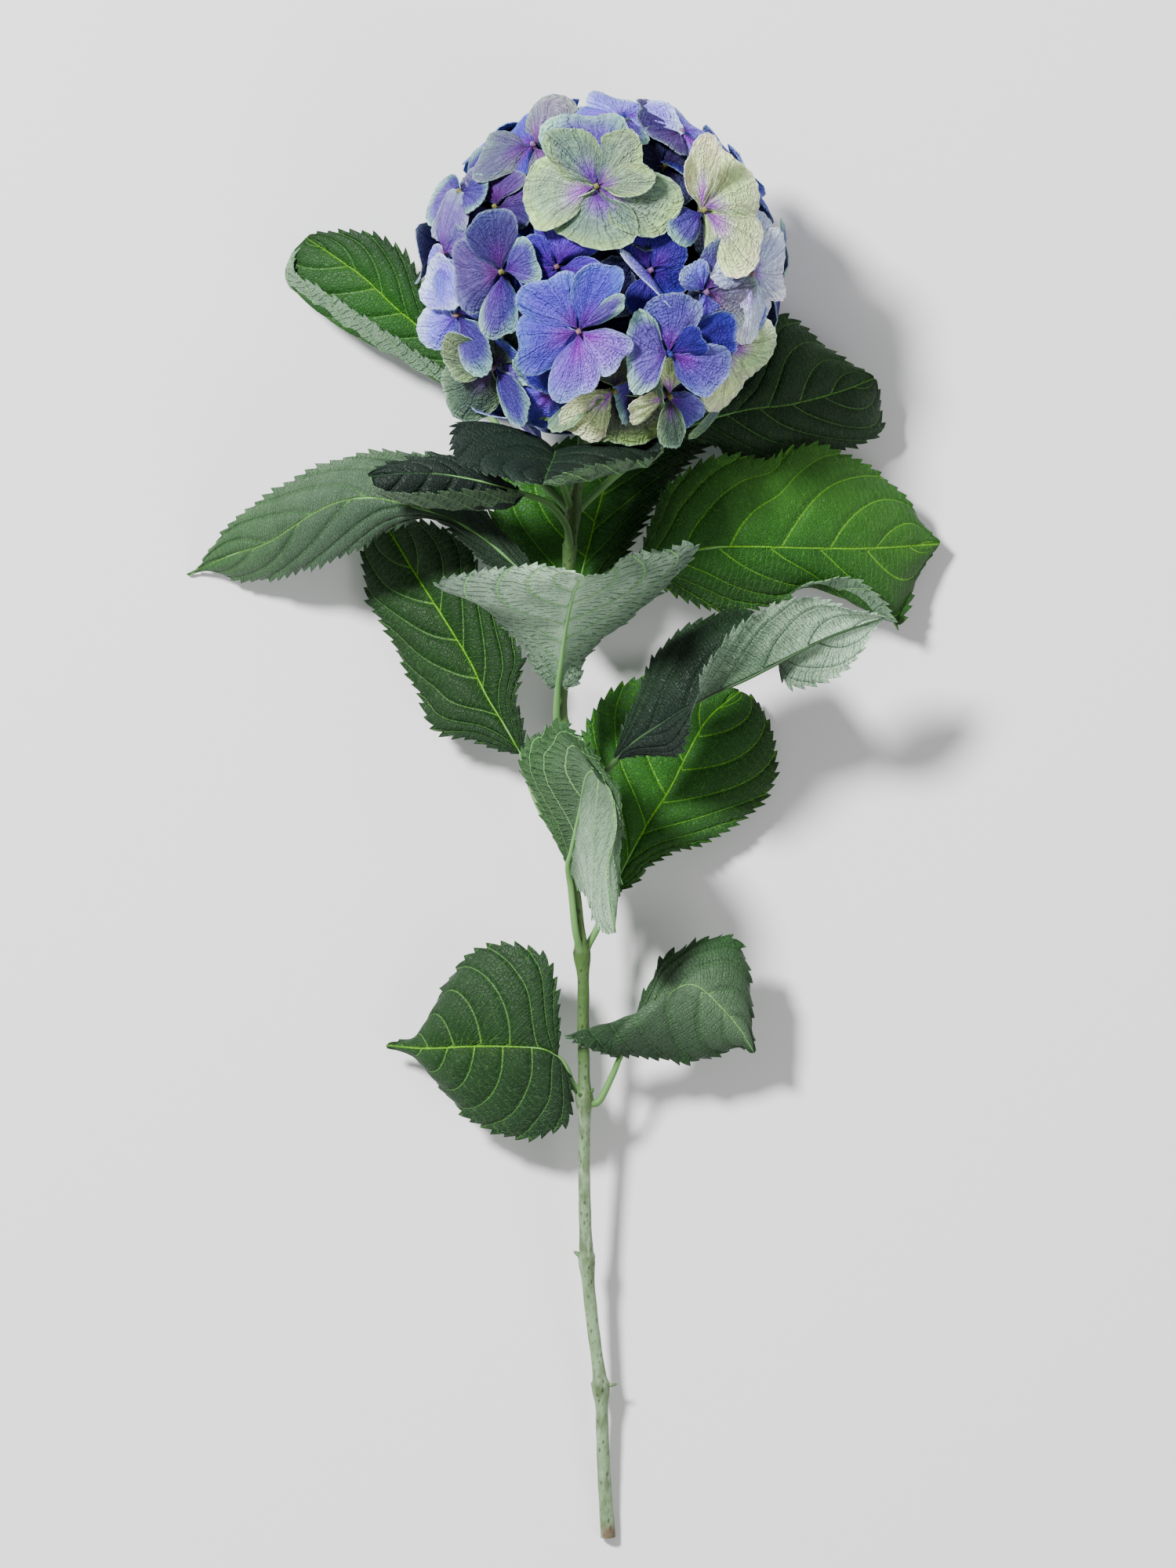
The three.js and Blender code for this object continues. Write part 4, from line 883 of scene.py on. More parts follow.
def stem_skin():
    """The stem and the buds on it. Its radius also ripples round and along it by a few sines."""
    path = Path(STEM_AXIS)
    u = np.linspace(0, 1, STEM_POINTS)
    y = path.at(u)[:, 1]
    turn = np.linspace(0, 2 * np.pi, STEM_SIDES + 1)[None, :]
    ripple = 0.1 * np.sin(2 * turn + y[:, None] / 17) + 0.07 * np.sin(3 * turn - y[:, None] / 9)
    ripple = ripple + 0.05 * np.sin(y[:, None] / 2.1 + 2 * np.sin(turn))
    radius = stem_radius(y)[:, None] + ripple * ease(206, 190, y)[:, None]
    radius[:, -1] = radius[:, 0]
    fresh = np.stack([ease(BARK_END, FRESH_START, y)] * 3, axis=-1)
    flesh = stalk(path, u, radius, STEM_SIDES, (0, 0, 1), {"fresh": fresh})
    buds = []
    for node, way, length, radius in BUDS:
        start = np.array(NODES[node])
        path = Path([start, start + unit(np.array(way)) * length])
        t = np.linspace(0, 1, 14)
        swell = radius * (1.05 - 0.85 * t**2.5) * (1 + 0.08 * np.sin(9 * t))
        fresh = np.full((1, 3), 1.0 if start[1] > BARK_END else 0.2)
        buds.append(stalk(path, t, swell, 10, (0, 0.3, 1), {"fresh": fresh}))
    return Skin.together([flesh, *buds])


# ---------------------------------------------------------------- the bloom


def press(point, lowest=SEPAL_THICK / 2):
    """Points near the table bend onto it: their height becomes a parabola of what it was, above PRESSED."""
    z = point[..., 2]
    share = np.maximum(0, (z - PRESS_FLAT) / (PRESS_FROM - PRESS_FLAT))
    z = np.where(share < 1, PRESSED + share**2 * (PRESS_FROM - PRESSED), z)
    point[..., 2] = np.maximum(z, lowest)
    return point


def spiral(count, start=0.0):
    """Directions spread evenly over a ball, with their numbers: each is turned by the golden angle round
    the y axis from the last, and is an even step nearer to the stem."""
    for i in range(count):
        height = 1 - (2 * (i + 0.5)) / count
        turn = start + i * math.pi * (3 - math.sqrt(5))
        flat = math.sqrt(1 - height * height)
        yield i, np.array([flat * math.cos(turn), height, flat * math.sin(turn)])


def has_room(out, florets, spacing):
    """Whether a direction is at least that angle away from the directions of all those florets."""
    return min(math.acos(min(1, float(out @ f["out"]))) for f in florets) >= spacing


def placed(rows, layer):
    """Florets listed one by one. out is the direction of the eye from the middle of the bloom, and look, the
    way the floret faces, is that direction leaned towards the sky."""
    for x, y, reach, lean, kind, teeth, sepals in rows:
        out = unit(np.array([x, y, math.sqrt(reach**2 - x**2 - y**2)]))
        look = unit(mix(out, np.array([0, 0, 1.0]), lean))
        yield {"out": out, "look": look, "reach": out * reach, "kind": kind, "teeth": teeth,
               "sepals": sepals, "grid": PLACED_GRID, "layer": layer}


def floret_list():
    """Every floret: those listed one by one, the one the bloom lies on, a spiral over the ball wherever
    there is room for one more, a spiral of smaller ones deeper in, which fills the gaps between those, and
    the folded ones listed one by one. Each gets its eye and two axes square to the way it faces."""
    florets = list(placed(PLACED_FLORETS, 0))
    down = np.array([0, 0, -1.0])
    florets.append({"out": down, "look": down, "reach": down * LOWEST_REACH, "size": 1.1, "spin": 25,
                    "kind": "dusk", "teeth": 0.3, "grid": RING_GRID, "layer": 1})
    for i, out in spiral(RING_FLORETS):
        if has_room(out, florets, RING_SPACING) and out[1] >= RING_END:
            reach = FLORET_REACH + 4 * chance(i, 1)
            kind = RING_KINDS[int(len(RING_KINDS) * chance(i, 4))]
            florets.append({"out": out, "look": out, "reach": out * reach * BLOOM_STRETCH, "kind": kind,
                            "size": 0.95 + 0.15 * chance(i, 2), "spin": 90 * chance(i, 3),
                            "teeth": 0.3, "grid": RING_GRID, "layer": 1})
    outer = list(florets)
    for i, out in spiral(INNER_FLORETS, 0.7):
        if has_room(out, outer, INNER_SPACING) and out[1] >= INNER_END:
            front = int(out[2] > 0.5)
            # At the front most inner florets are the shadow kind: painted shade in the gaps between the
            # outer ones.
            if front:
                kind = "shadow" if chance(i, 34) < 0.7 else "deep"
            else:
                kind = INNER_KINDS[int(len(INNER_KINDS) * chance(i, 34))]
            reach = INNER_REACH[front] + 5 * chance(i, 31)
            florets.append({"out": out, "look": out, "reach": out * reach, "kind": kind,
                            "size": INNER_SIZE[front] + 0.12 * chance(i, 32),
                            "spin": 90 * chance(i, 33), "teeth": 0.25, "grid": INNER_GRID, "layer": 2})
    florets.extend(placed(FOLDED_FLORETS, 3))
    for index, floret in enumerate(florets):
        floret["index"] = index
        floret["eye"] = HEAD + floret["reach"]
        look = floret["look"]
        first = np.array([1.0, 0, 0]) - look * look[0]
        if np.linalg.norm(first) < 0.2:
            first = np.array([0, 1.0, 0]) - look * look[1]
        floret["axes"] = unit(first), np.cross(look, unit(first))
    return florets


def usual_sepals(floret):
    """Four sepals alike, two a little above the others: the angle, length, width and lift of each."""
    made = []
    for k in range(4):
        long = floret["size"] * SEPAL_LENGTH * (0.94 + 0.14 * chance(floret["index"], 10 + k))
        angle = floret["spin"] + 90 * k + 10 * (chance(floret["index"], 20 + k) - 0.5)
        made.append((angle, long, long * 1.05, -9 if k % 2 else 4))
    return made


def sepal_skin(floret, shape, seed):
    """A sepal: a disc that touches the floret's eye, drawn in towards it. out runs from the eye to the
    margin and tilt from one side to the other. forward = length out cos^2 tilt, and sideways = width out
    cos tilt sin tilt, narrowed near the eye. It stands off that disc by a cup that grows as out^2, a curl
    as out^5, a keel along its middle that rises as a hyperbola, a frill of waves that grow to the margin,
    and furrows of height out (1 - out). Its colour goes from root to body to margin and is darker near the
    eye, painted shade there. One side gets painted shade and the other painted light, the more so the
    darker the sepal is."""
    angle, length, width, lift = shape[:4]
    kind = shape[4] if len(shape) > 4 else floret["kind"]
    rows, columns = floret["grid"]
    out = np.interp(np.linspace(0, 1, rows), [0, 0.85, 1], [0, 0.96, 1])[:, None]
    tilt = np.radians(np.linspace(84, -84, columns))[None, :]
    first, second = floret["axes"]
    look, turn, raise_ = floret["look"], math.radians(angle), math.radians(lift)
    along = first * math.cos(turn) + second * math.sin(turn)
    across = -np.cross(along, look)

    def wobble(times, salt):
        return np.sin(times * tilt + 6.3 * chance(seed, salt))

    dent = hump(tilt + 0.9 * (chance(seed, 15) - 0.5), 0.2)
    uneven = 0.06 * wobble(3, 4) + 0.05 * wobble(5, 5) - 0.08 * dent
    notch = floret["teeth"] / length * (np.arange(columns) % 2 - 0.5) * ease(0.93, 1, out)
    grow = out * (1 + uneven + notch)
    forward = length * grow * np.cos(tilt) ** 2
    spread = width * grow * np.cos(tilt) * np.sin(tilt)
    claw = 0.25 + 0.75 * ease(0, 0.27, forward / length)
    sideways = spread * (0.7 + 0.5 * forward / length) * claw
    cup = (0.05 * width * wobble(3.2, 6) + (0.16 * chance(seed, 17) - 0.22) * length) * out**2
    curl = 0.12 * length * (chance(seed, 13) - 0.35) * out**5
    keel = 0.55 * (chance(seed, 16) - 0.4) * (np.sqrt(sideways**2 + 6) - 2.4)
    frill = 0.06 * width * np.sin(5 * tilt + 6.3 * chance(seed, 7)) * out**3 + curl
    ripple = 0.55 * np.sin(7 * tilt + 5 * out) * np.sin(8 * out + 3 * tilt + 6.3 * chance(seed, 14))
    frill = frill + ripple * out
    furrow = 0.55 * np.cos(12 * tilt + 6.3 * chance(seed, 8)) * out * (1 - out) * 2

    def spot(amount, way):
        return amount[..., None] * way

    sheet = floret["eye"] + spot(1.2 + forward * math.cos(raise_), along) + spot(sideways, across)
    sheet = sheet + spot(forward * math.sin(raise_) + cup + keel + frill + furrow, look)
    sheet = press(sheet)
    up = way_up(sheet)
    root, body, margin = (seen(c) for c in SEPAL_COLOURS[kind])
    fade = ease(0.08, 0.55, out + 0.1 * wobble(2, 9))[..., None]
    rim = ease(0.72, 1.07, out + 0.07 * wobble(5, 10))[..., None]
    tint = mix(mix(root, body, fade), margin, rim) * (0.92 + 0.16 * chance(seed, 11))
    # Painted light and shade across the sepal: a lit side and a dim side.
    lit = ease(-1.0, 1.1, wobble(1, 18) + 0.7 * wobble(2.5, 19) * out)[..., None]
    paleness = ease(0.3, 0.7, body.mean())
    swing = 1 - 0.6 * paleness
    tint = tint * (1 - swing * (1 - mix(DIM_SIDE, LIT_SIDE, lit)))
    # Painted shade, darker towards the eye.
    tint = tint * (0.6 + 0.4 * ease(0.0, 0.3, out)[..., None])
    tint = np.minimum(tint * (1 + 0.3 * paleness), BRIGHTEST)
    tint = mix(tint, seen(SEPAL_EDGE), 0.22 * ease(0.95, 1, out)[..., None])
    tint = np.broadcast_to(tint, (rows, columns, 3))
    under = mix(tint, seen(SEPAL_BACK), 0.3)
    ones = np.ones((rows, columns, 1))
    place = (tilt / 1.5, out * length / SEPAL_LENGTH, 40 * chance(seed, 12))
    place = np.stack(np.broadcast_arrays(*place), axis=-1)
    top = {"tint": np.concatenate([tint, ones], -1), "place": place}
    bottom = {"tint": np.concatenate([under, ones], -1), "place": place}
    half = SEPAL_THICK / 2
    return two_faced(sheet, up, half, half, top, bottom).knit()


def bloom_skins():
    """The sepals, a skin for each layer, and the buds in the florets' eyes with their pedicels."""
    layers, stalks = [[], [], [], []], []
    for floret in floret_list():
        shapes = floret.get("sepals") or usual_sepals(floret)
        for k, shape in enumerate(shapes):
            layers[floret["layer"]].append(sepal_skin(floret, shape, 10 * floret["index"] + k))
        stalks.append(pedicel_skin(floret))
    return [Skin.together(layer) for layer in layers], Skin.together(stalks)


def pedicel_skin(floret):
    """A pedicel from the core to the eye, where it swells into a bud: an ellipse turned round it, with a
    radius that swings in four lobes."""
    room = SEPAL_THICK / 2 + EYE_RADIUS * math.sqrt(max(0, 1 - floret["look"][2] ** 2))
    start = HEAD + floret["out"] * (CORE_RADIUS - 6)
    bud = 0.7 if floret["layer"] else 0.8
    end = press(floret["eye"] + floret["look"] * BUD_TOP * bud, room + 0.4)
    neck = end - floret["look"] * BUD_NECK * bud
    path = Path([start, mix(start, neck, 0.6), neck, end])
    t = np.concatenate([np.linspace(0, 0.88, 8), 1 - np.linspace(3.4, 0, 10) / path.length * bud])
    from_end = (1 - t) * path.length / bud
    bulb = BUD_RADIUS * bud * np.sqrt(np.clip(1 - ((from_end - BUD_RADIUS) / 1.65) ** 2, 0, 1))
    sides = 12
    lobes = 1 + 0.16 * np.cos(4 * np.linspace(0, 2 * np.pi, sides + 1))[None, :] * (bulb > 0.3)[:, None]
    thinnest = np.where(from_end > BUD_RADIUS, 0.9, 0.25)
    radius = np.maximum(thinnest, bulb)[:, None] * lobes
    head = ease(5, 3, from_end)[:, None]
    bud_colour = EYE_COLOURS[int(len(EYE_COLOURS) * chance(floret["index"], 41))]
    tint = mix(ink(PEDICEL_COLOUR), ink(bud_colour), head)
    place = np.stack([t, t * 3, np.full_like(t, floret["index"])], axis=-1)
    return stalk(path, t, radius, sides, (0.3, 0.9, 0.1), {"tint": tint, "place": place})


def core_skin():
    """The dense middle of the bloom: a ball whose radius swings, by the product of two sines, in small buds
    set close together. Its colour is darker between the buds, painted shade in those hollows."""
    rows, columns, bud_height = 97, 193, 4
    polar, turn = np.linspace(0, np.pi, rows)[:, None], np.linspace(0, 2 * np.pi, columns)[None, :]
    bumps = np.abs(np.sin(9 * polar + 2 * np.sin(3 * turn)))
    bumps = bumps * np.abs(np.sin(12 * turn + 3 * np.cos(5 * polar)))
    radius = CORE_RADIUS - bud_height + bud_height * bumps * np.sin(polar) ** 0.5
    way = [np.sin(polar) * np.cos(turn), np.sin(polar) * np.sin(turn), np.cos(polar) + 0 * turn]
    way = np.stack(way, axis=-1)
    way[:, -1] = way[:, 0]
    radius = np.broadcast_to(radius, (rows, columns)).copy()
    radius[:, -1] = radius[:, 0]
    grid = HEAD + way * radius[..., None]
    grid[0], grid[-1] = grid[0, :1], grid[-1, :1]
    # Painted shade: darker where the surface sinks between the buds.
    tint = mix(ink(CORE_COLOURS[0]), ink(CORE_COLOURS[1]), bumps.reshape(-1, 1))
    place = way.reshape(-1, 3) * 3
    faces = grid_triangles(rows, columns)[:, ::-1]
    return Skin(grid.reshape(-1, 3), faces, tint=tint, place=place).knit()


# ---------------------------------------------------------------- finishes


class Wire:
    """A value in a material. Sums, differences and products of wires and numbers add Math nodes."""

    def __init__(self, finish, socket):
        self.finish, self.socket = finish, socket

    def math(self, operation, *others):
        return self.finish.node("ShaderNodeMath", {"operation": operation}, self, *others)

    def __add__(self, other):
        return self.math("ADD", other)

    def __sub__(self, other):
        return self.math("SUBTRACT", other)

    def __mul__(self, other):
        return self.math("MULTIPLY", other)

    def __rsub__(self, other):
        return self.finish.node("ShaderNodeMath", {"operation": "SUBTRACT"}, other, self)

    __radd__, __rmul__ = __add__, __mul__


class Finish:
    """A material and the nodes in it."""

    def __init__(self, name):
        self.material = bpy.data.materials.new(name)
        self.material.use_nodes = True
        self.tree = self.material.node_tree
        self.tree.nodes.clear()

    def node(self, kind, settings=None, *values, out=0, **named):
        """A node of that kind with its settings, and values or wires on its sockets by order or by name."""
        made = self.tree.nodes.new(kind)
        for key, value in (settings or {}).items():
            setattr(made, key, value)
        sockets = list(enumerate(values)) + [(k.replace("_", " "), v) for k, v in named.items()]
        self.feed(made, sockets)
        return Wire(self, made.outputs[out])

    def feed(self, node, sockets):
        """Values or wires put on those sockets of a node."""
        for key, value in sockets:
            if isinstance(value, Wire):
                self.tree.links.new(value.socket, node.inputs[key])
            else:
                node.inputs[key].default_value = value

    def attribute(self, name, out="Color"):
        return self.node("ShaderNodeAttribute", {"attribute_name": name}, out=out)

    def parts(self, vector):
        made = self.tree.nodes.new("ShaderNodeSeparateXYZ")
        self.tree.links.new(vector.socket, made.inputs[0])
        return [Wire(self, socket) for socket in made.outputs]

    def vector(self, x, y, z):
        return self.node("ShaderNodeCombineXYZ", None, x, y, z)

    def noise(self, where, scale, detail=3.0, rough=0.55):
        return self.node(
            "ShaderNodeTexNoise", None, Vector=where, Scale=scale, Detail=detail, Roughness=rough)

    def cells(self, where, scale, feature="DISTANCE_TO_EDGE"):
        return self.node("ShaderNodeTexVoronoi", {"feature": feature}, Vector=where, Scale=scale)

    def fold(self, x):
        """The distance from x to the nearest whole number."""
        return self.node("ShaderNodeMath", {"operation": "PINGPONG"}, x, 0.5)

    def blend(self, t, a, b, way="MIX"):
        """Colour a turned into colour b as t goes from 0 to 1."""
        made = self.tree.nodes.new("ShaderNodeMix")
        made.data_type, made.blend_type = "RGBA", way
        self.feed(made, ((0, t), (6, a), (7, b)))
        return Wire(self, made.outputs[2])

    def times(self, tint, colour):
        """A tint with each of its parts multiplied by the colour's."""
        return self.blend(1.0, tint, (*colour, 1.0), "MULTIPLY")

    def slope(self, x, low, high):
        """0 where x is low, 1 where it is high, smooth between."""
        settings = {"interpolation_type": "SMOOTHSTEP"}
        return self.node("ShaderNodeMapRange", settings, x, low, high, 0.0, 1.0)

    def close(self, colour, roughness, height, depth, gloss=0.5):
        """The Principled shader with that colour, roughness, gloss and relief, depth metres deep."""
        normal = self.node("ShaderNodeBump", None, Strength=1.0, Distance=depth, Height=height)
        shader = self.node(
            "ShaderNodeBsdfPrincipled", None, Base_Color=colour, Roughness=roughness, Normal=normal,
            Specular_IOR_Level=gloss)
        output = self.tree.nodes.new("ShaderNodeOutputMaterial")
        self.feed(output, [("Surface", shader)])
        return self.material


def shade(colour):
    """A colour as it should look in the picture, for a colour socket."""
    return (*(float(c) for c in seen(colour)), 1.0)


def leaf_finish():
    """Leaf skin: the blade's own green with mottling and lighter patches, and pale veins in four sizes: the
    midrib, the laterals, rungs that run slantwise between these, and a net of cells. The last part of tint
    says how strongly the small veins furrow the skin: the skin sinks in dashes between the rungs, which are
    darkened with painted shade, and a painted shadow lies in a strip beside each lateral. place.x counts
    lateral veins, place.y is centimetres from the midrib and place.z centimetres along it."""
    f = Finish("leaf skin")
    spot = f.attribute("place", out="Vector")
    x, y, z = f.parts(spot)
    sway = f.noise(spot, 1.3, 2.0) - 0.5
    fray = f.noise(spot, 9.0, 2.0) - 0.5
    # How strongly the small veins furrow the skin, and so how much painted shade the furrows get.
    furrows = f.attribute("tint", out="Alpha")
    to_lateral = f.fold(x + 0.5 + fray * 0.03)
    lateral = 1 - f.slope(to_lateral + y * 0.002 - furrows * 0.016, 0.01, 0.034)
    # Painted shadow in a strip beside each lateral.
    lateral_shadow = f.slope(to_lateral, 0.13, 0.07) * (1 - lateral) * furrows
    shoulder = 1 - f.slope(to_lateral, 0.0, 0.2)
    midrib = 1 - f.slope(y, 0.02, 0.06)
    rung = f.fold(z * 3.7 + y * 1.4 + sway * 1.2 + fray * 0.25)
    small = f.cells(f.vector(z * 8.0 + sway * 3.0, y * 6.0, 3.0), 1.0)
    third = f.slope(rung, 0.42, 0.485)
    fourth = 1 - f.slope(small, 0.0, 0.13)
    mottle = f.noise(spot, 0.8, 4.0)
    patch = f.noise(f.vector(z * 2.2, y * 0.8, 7.0), 1.0, 3.0)
    fine = f.noise(spot, 14.0, 3.0)
    tint, vein = f.attribute("tint"), f.attribute("vein_tint")
    gaps = f.noise(f.vector(z * 5.0, y * 1.6, 11.0), 1.0, 2.0)
    # Dashes between the rungs, where the skin sinks and gets painted shade.
    dash = f.slope(rung, 0.2, 0.07) * f.slope(gaps, 0.42, 0.52) * f.slope(y, 0.1, 0.5) * (1 - lateral)
    darker = f.times(tint, (0.5, 0.58, 0.56))
    darkest = f.times(tint, (0.26, 0.34, 0.28))
    lighter = f.times(tint, (1.4, 1.3, 1.3))
    green = f.blend(f.slope(mottle, 0.3, 0.6) * 0.6 + 0.4, darker, tint)
    green = f.blend(f.slope(patch, 0.45, 0.7) * 0.3, green, lighter)
    green = f.blend(f.slope(rung, 0.4, 0.1) * 0.2, green, darker)
    green = f.blend(f.slope(fine, 0.35, 0.75) * 0.25, green, lighter)
    # Painted shade in the sunken dashes, then painted shadow beside the laterals.
    green = f.blend(dash * furrows * 0.85, green, darkest)
    green = f.blend(lateral_shadow * 0.5, green, darker)
    green = f.blend(fourth * 0.1, green, vein)
    green = f.blend(third * (furrows * 0.1 + 0.28), green, vein)
    green = f.blend(lateral * (furrows * 0.3 + 0.65), green, vein)
    colour = f.blend(midrib * 0.9, green, vein)
    height = third * -0.5 + fourth * -0.3 + shoulder * -0.7 + midrib * -0.5
    height = height + fine * 0.2 + dash * furrows * -0.9
    roughness = 0.45 + mottle * 0.15 + third * 0.1
    return f.close(colour, roughness, height, 0.0008, gloss=0.22)


def sepal_finish():
    """Sepal skin: its own tint with pinker and bluer patches, darker streaks, crinkles that rise and are
    lighter with painted light on them, darker veins that fan out from the root and branch, and a blistered
    relief between them whose sunken lines are darker too; the darkness of veins and lines is partly their
    own colour and partly painted shade. place.x is the direction from the root, place.y the distance from
    it in sepal lengths, and place.z tells one sepal from another."""
    f = Finish("sepal skin")
    x, y, z = f.parts(f.attribute("place", out="Vector"))
    sway = f.noise(f.vector(x * 2.5, y * 2.5, z), 1.0, 3.0) - 0.5
    jitter = f.noise(f.vector(x * 9.0, y * 9.0, z), 1.0, 2.0) - 0.5
    bent = x + sway * 0.22 * y + jitter * 0.05

    def fan(count, width):
        return 1 - f.slope(f.fold(bent * count + 0.5), 0.0, width)

    veins = fan(4.0, 0.07) * 0.9 + fan(9.0, 0.11) * f.slope(y, 0.15, 0.45) * 0.7
    veins = veins + fan(19.0, 0.18) * f.slope(y, 0.4, 0.7) * 0.5
    blister = f.cells(f.vector(x * 10.0 + jitter, y * 16.0 + jitter, z), 1.0)
    net = 1 - f.slope(blister, 0.0, 0.16)
    streak = f.noise(f.vector(bent * 30.0, y * 2.2, z), 1.0, 3.0)
    mottle = f.noise(f.vector(x * 2.4, y * 2.6, z), 1.0, 4.0)
    patch = f.noise(f.vector(x * 1.6 + 5.0, y * 1.8, z), 1.0, 2.0)
    crinkle = f.noise(f.vector(x * 7.0, y * 9.0, z), 1.0, 4.0)
    tint = f.attribute("tint")
    pinker, bluer = f.times(tint, (1.18, 0.8, 1.03)), f.times(tint, (0.74, 0.92, 1.02))
    duller, streaked = f.times(tint, (0.62, 0.6, 0.74)), f.times(tint, (0.6, 0.52, 0.76))
    lighter, veined = f.times(tint, (1.5, 1.5, 1.35)), f.times(tint, (0.4, 0.28, 0.6))
    colour = f.blend(f.slope(patch, 0.45, 0.7) * 0.6, tint, pinker)
    colour = f.blend(f.slope(patch, 0.45, 0.25) * 0.6, colour, bluer)
    colour = f.blend(f.slope(mottle, 0.35, 0.7) * 0.5, colour, duller)
    colour = f.blend(f.slope(streak, 0.42, 0.68) * 0.55, colour, streaked)
    # Lighter where the crinkles rise: painted light on them.
    colour = f.blend(f.slope(crinkle, 0.5, 0.72) * 0.6, colour, lighter)
    # Veins and blister lines that sink are darker: partly their own colour, partly painted shade.
    colour = f.blend((veins * 0.75 + net * 0.2) * (1.15 - y * 0.6), colour, veined)
    height = veins * -0.4 + f.slope(blister, 0.0, 0.4) * 0.5 + crinkle * 1.1 + streak * 0.3
    return f.close(colour, 0.6 + crinkle * 0.15, height, 0.001, gloss=0.12)


def bark_finish():
    """The stem's skin: fresh green among the leaves, grey-green mottled bark with brown streaks below them,
    dark flecks all over and a reddish patch at the cut end."""
    f = Finish("stem skin")
    where = f.node("ShaderNodeTexCoord", None, out="Object")
    fresh = f.parts(f.attribute("fresh", out="Vector"))[0]
    px, py, pz = f.parts(where)
    stretched = f.vector(px * 1000.0, py * 420.0, pz * 1000.0)
    patches = f.noise(stretched, 0.2, 5.0, 0.65)
    streaks = f.noise(stretched, 0.8, 3.0)
    chalk = f.noise(f.vector(px * 300.0, py * 90.0, pz * 300.0), 1.0, 3.0)
    fleck = 1 - f.slope(f.cells(f.vector(px * 900.0, py * 420.0, pz * 900.0), 0.5, "F1"), 0.12, 0.3)
    bark = f.blend(f.slope(patches, 0.36, 0.62), shade(BARK["olive"]), shade(BARK["lichen"]))
    bark = f.blend(f.slope(chalk, 0.45, 0.7) * 0.7, bark, shade(BARK["chalk"]))
    bark = f.blend(f.slope(streaks, 0.52, 0.75) * 0.55, bark, shade(BARK["moss"]))
    bark = f.blend(f.slope(streaks, 0.64, 0.8) * 0.7, bark, shade(BARK["brown"]))
    green = f.blend(f.slope(patches, 0.4, 0.65), shade(BARK["green"]), shade(BARK["light green"]))
    green = f.blend(f.slope(streaks, 0.5, 0.8) * 0.5, green, shade(BARK["dark green"]))
    colour = f.blend(fresh, bark, green)
    colour = f.blend(fleck * 0.6, colour, shade(BARK["fleck"]))
    cut_end = f.slope(py, -0.301, -0.307) * f.slope(streaks, 0.3, 0.55)
    colour = f.blend(cut_end * 0.8, colour, shade(BARK["cut"]))
    height = patches * 0.6 + streaks * 0.4 + fleck * 0.5
    return f.close(colour, 0.5 + patches * 0.3, height, 0.0005)


def bud_finish():
    """Buds, pedicels and the core: their tint, mottled, the core's with painted shade in it."""
    f = Finish("bud skin")
    where = f.node("ShaderNodeTexCoord", None, out="Object")
    mottle = f.noise(where, 420.0, 3.0)
    tint = f.attribute("tint")
    colour = f.blend(f.slope(mottle, 0.35, 0.75) * 0.5, tint, f.times(tint, shade(BUD_MOTTLE)[:3]))
    return f.close(colour, 0.5 + mottle * 0.2, mottle, 0.0005, gloss=0.35)


def table_finish():
    """A plain pale table top with the slightest grain."""
    f = Finish("pale table")
    where = f.node("ShaderNodeTexCoord", None, out="Object")
    grain = f.noise(where, 30.0, 3.0)
    colour = f.blend(grain, shade(TABLE_COLOURS[0]), shade(TABLE_COLOURS[1]))
    return f.close(colour, 0.8 + grain * 0.05, grain, 0.0001)


# ---------------------------------------------------------------- the flower

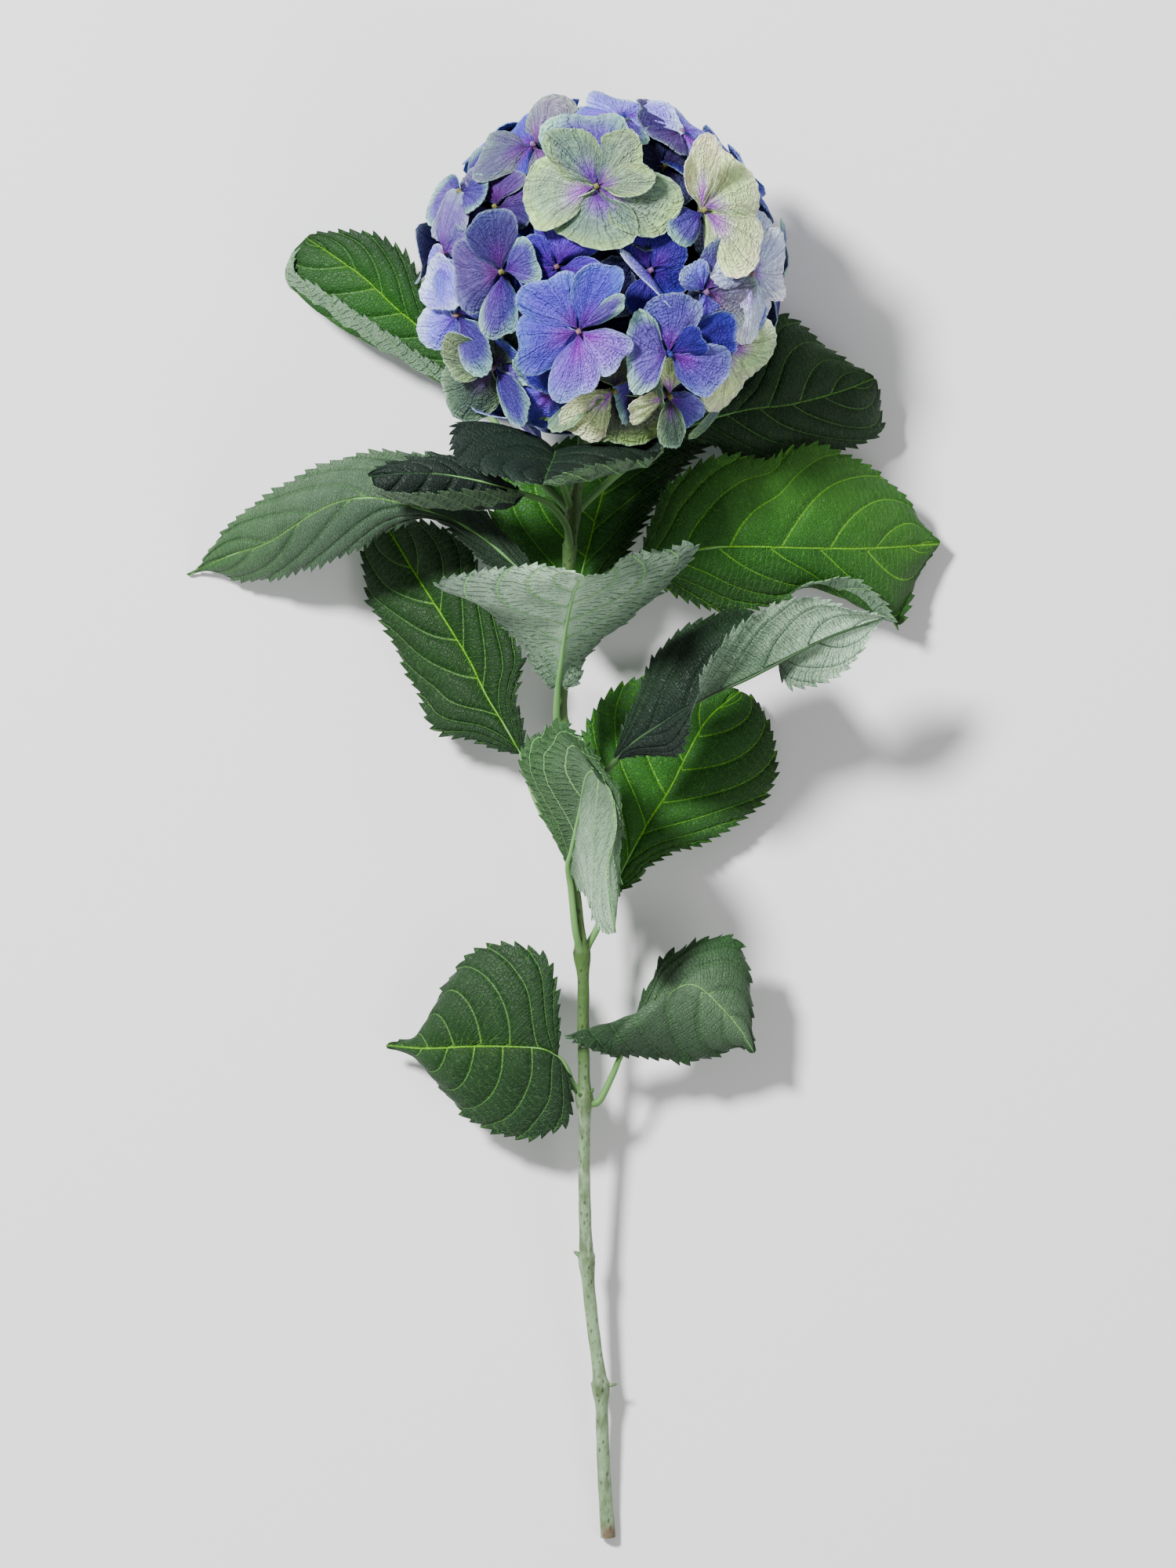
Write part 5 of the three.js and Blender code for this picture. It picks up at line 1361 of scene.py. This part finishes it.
leaf_skin_finish, sepal_skin_finish = leaf_finish(), sepal_finish()
for number, leaf in enumerate(LEAVES):
    make_piece(leaf["name"] + "_blade", leaf_skin(leaf, number), leaf_skin_finish, [leaf["name"]])
make_piece("stem_and_buds", stem_skin(), bark_finish(), ["stem"])
bud_skin_finish = bud_finish()
layers, stalks = bloom_skins()
for name, skin in zip(("front_sepals", "round_sepals", "inner_sepals", "folded_sepals"), layers):
    make_piece(name, skin, sepal_skin_finish, ["flower_head"])
make_piece("eyes_and_pedicels", stalks, bud_skin_finish, ["flower_head"])
make_piece("bloom_core", core_skin(), bud_skin_finish, ["flower_head"])

# ---------------------------------------------------------------- table, light and camera

TABLE_SIDE = 12  # metres
ROOM_LIGHT = 0.45
LIT_SPOT = (0, 0.05, 0)  # what both lamps shine at, in metres
SENSOR_WIDTH = 36


def add_light(name, place, towards, size, power):
    """A round soft light that shines from one place towards another, in metres and watts."""
    lamp = bpy.data.lights.new(name, "AREA")
    lamp.shape, lamp.size, lamp.energy = "DISK", size, power
    holder = bpy.data.objects.new(name, lamp)
    bpy.context.scene.collection.objects.link(holder)
    way = unit(np.subtract(place, towards))
    holder.location = place
    pitch, yaw = math.acos(way[2]), math.atan2(way[0], -way[1])
    holder.rotation_euler = (pitch, 0, yaw)


side = TABLE_SIDE / 2
table_mesh = bpy.data.meshes.new("table_top")
table_mesh.from_pydata(
    [(-side, -side, 0), (side, -side, 0), (side, side, 0), (-side, side, 0)], [], [(0, 1, 2), (0, 2, 3)])
table_mesh.materials.append(table_finish())
table = bpy.data.objects.new("table_top", table_mesh)
bpy.context.scene.collection.objects.link(table)

world = bpy.data.worlds.new("studio")
bpy.context.scene.world = world
world.use_nodes = True
world.node_tree.nodes["Background"].inputs["Color"].default_value = (1, 1, 1, 1)
world.node_tree.nodes["Background"].inputs["Strength"].default_value = ROOM_LIGHT
add_light("key_light", (-1.6, 1.5, 2.8), LIT_SPOT, 0.6, 310)
add_light("fill_light", (2.2, -1.4, 2.6), LIT_SPOT, 2.0, 40)

camera = bpy.data.objects.new("photograph", bpy.data.cameras.new("photograph"))
bpy.context.scene.collection.objects.link(camera)
camera.location = (EYE_POINT[0] * MM, EYE_POINT[1] * MM, (EYE_POINT[2] + VIEW_HEIGHT) * MM)
camera.data.sensor_width = SENSOR_WIDTH
camera.data.lens = SENSOR_WIDTH * VIEW_HEIGHT / VIEW_SPAN
camera.data.clip_end = 50
bpy.context.scene.camera = camera
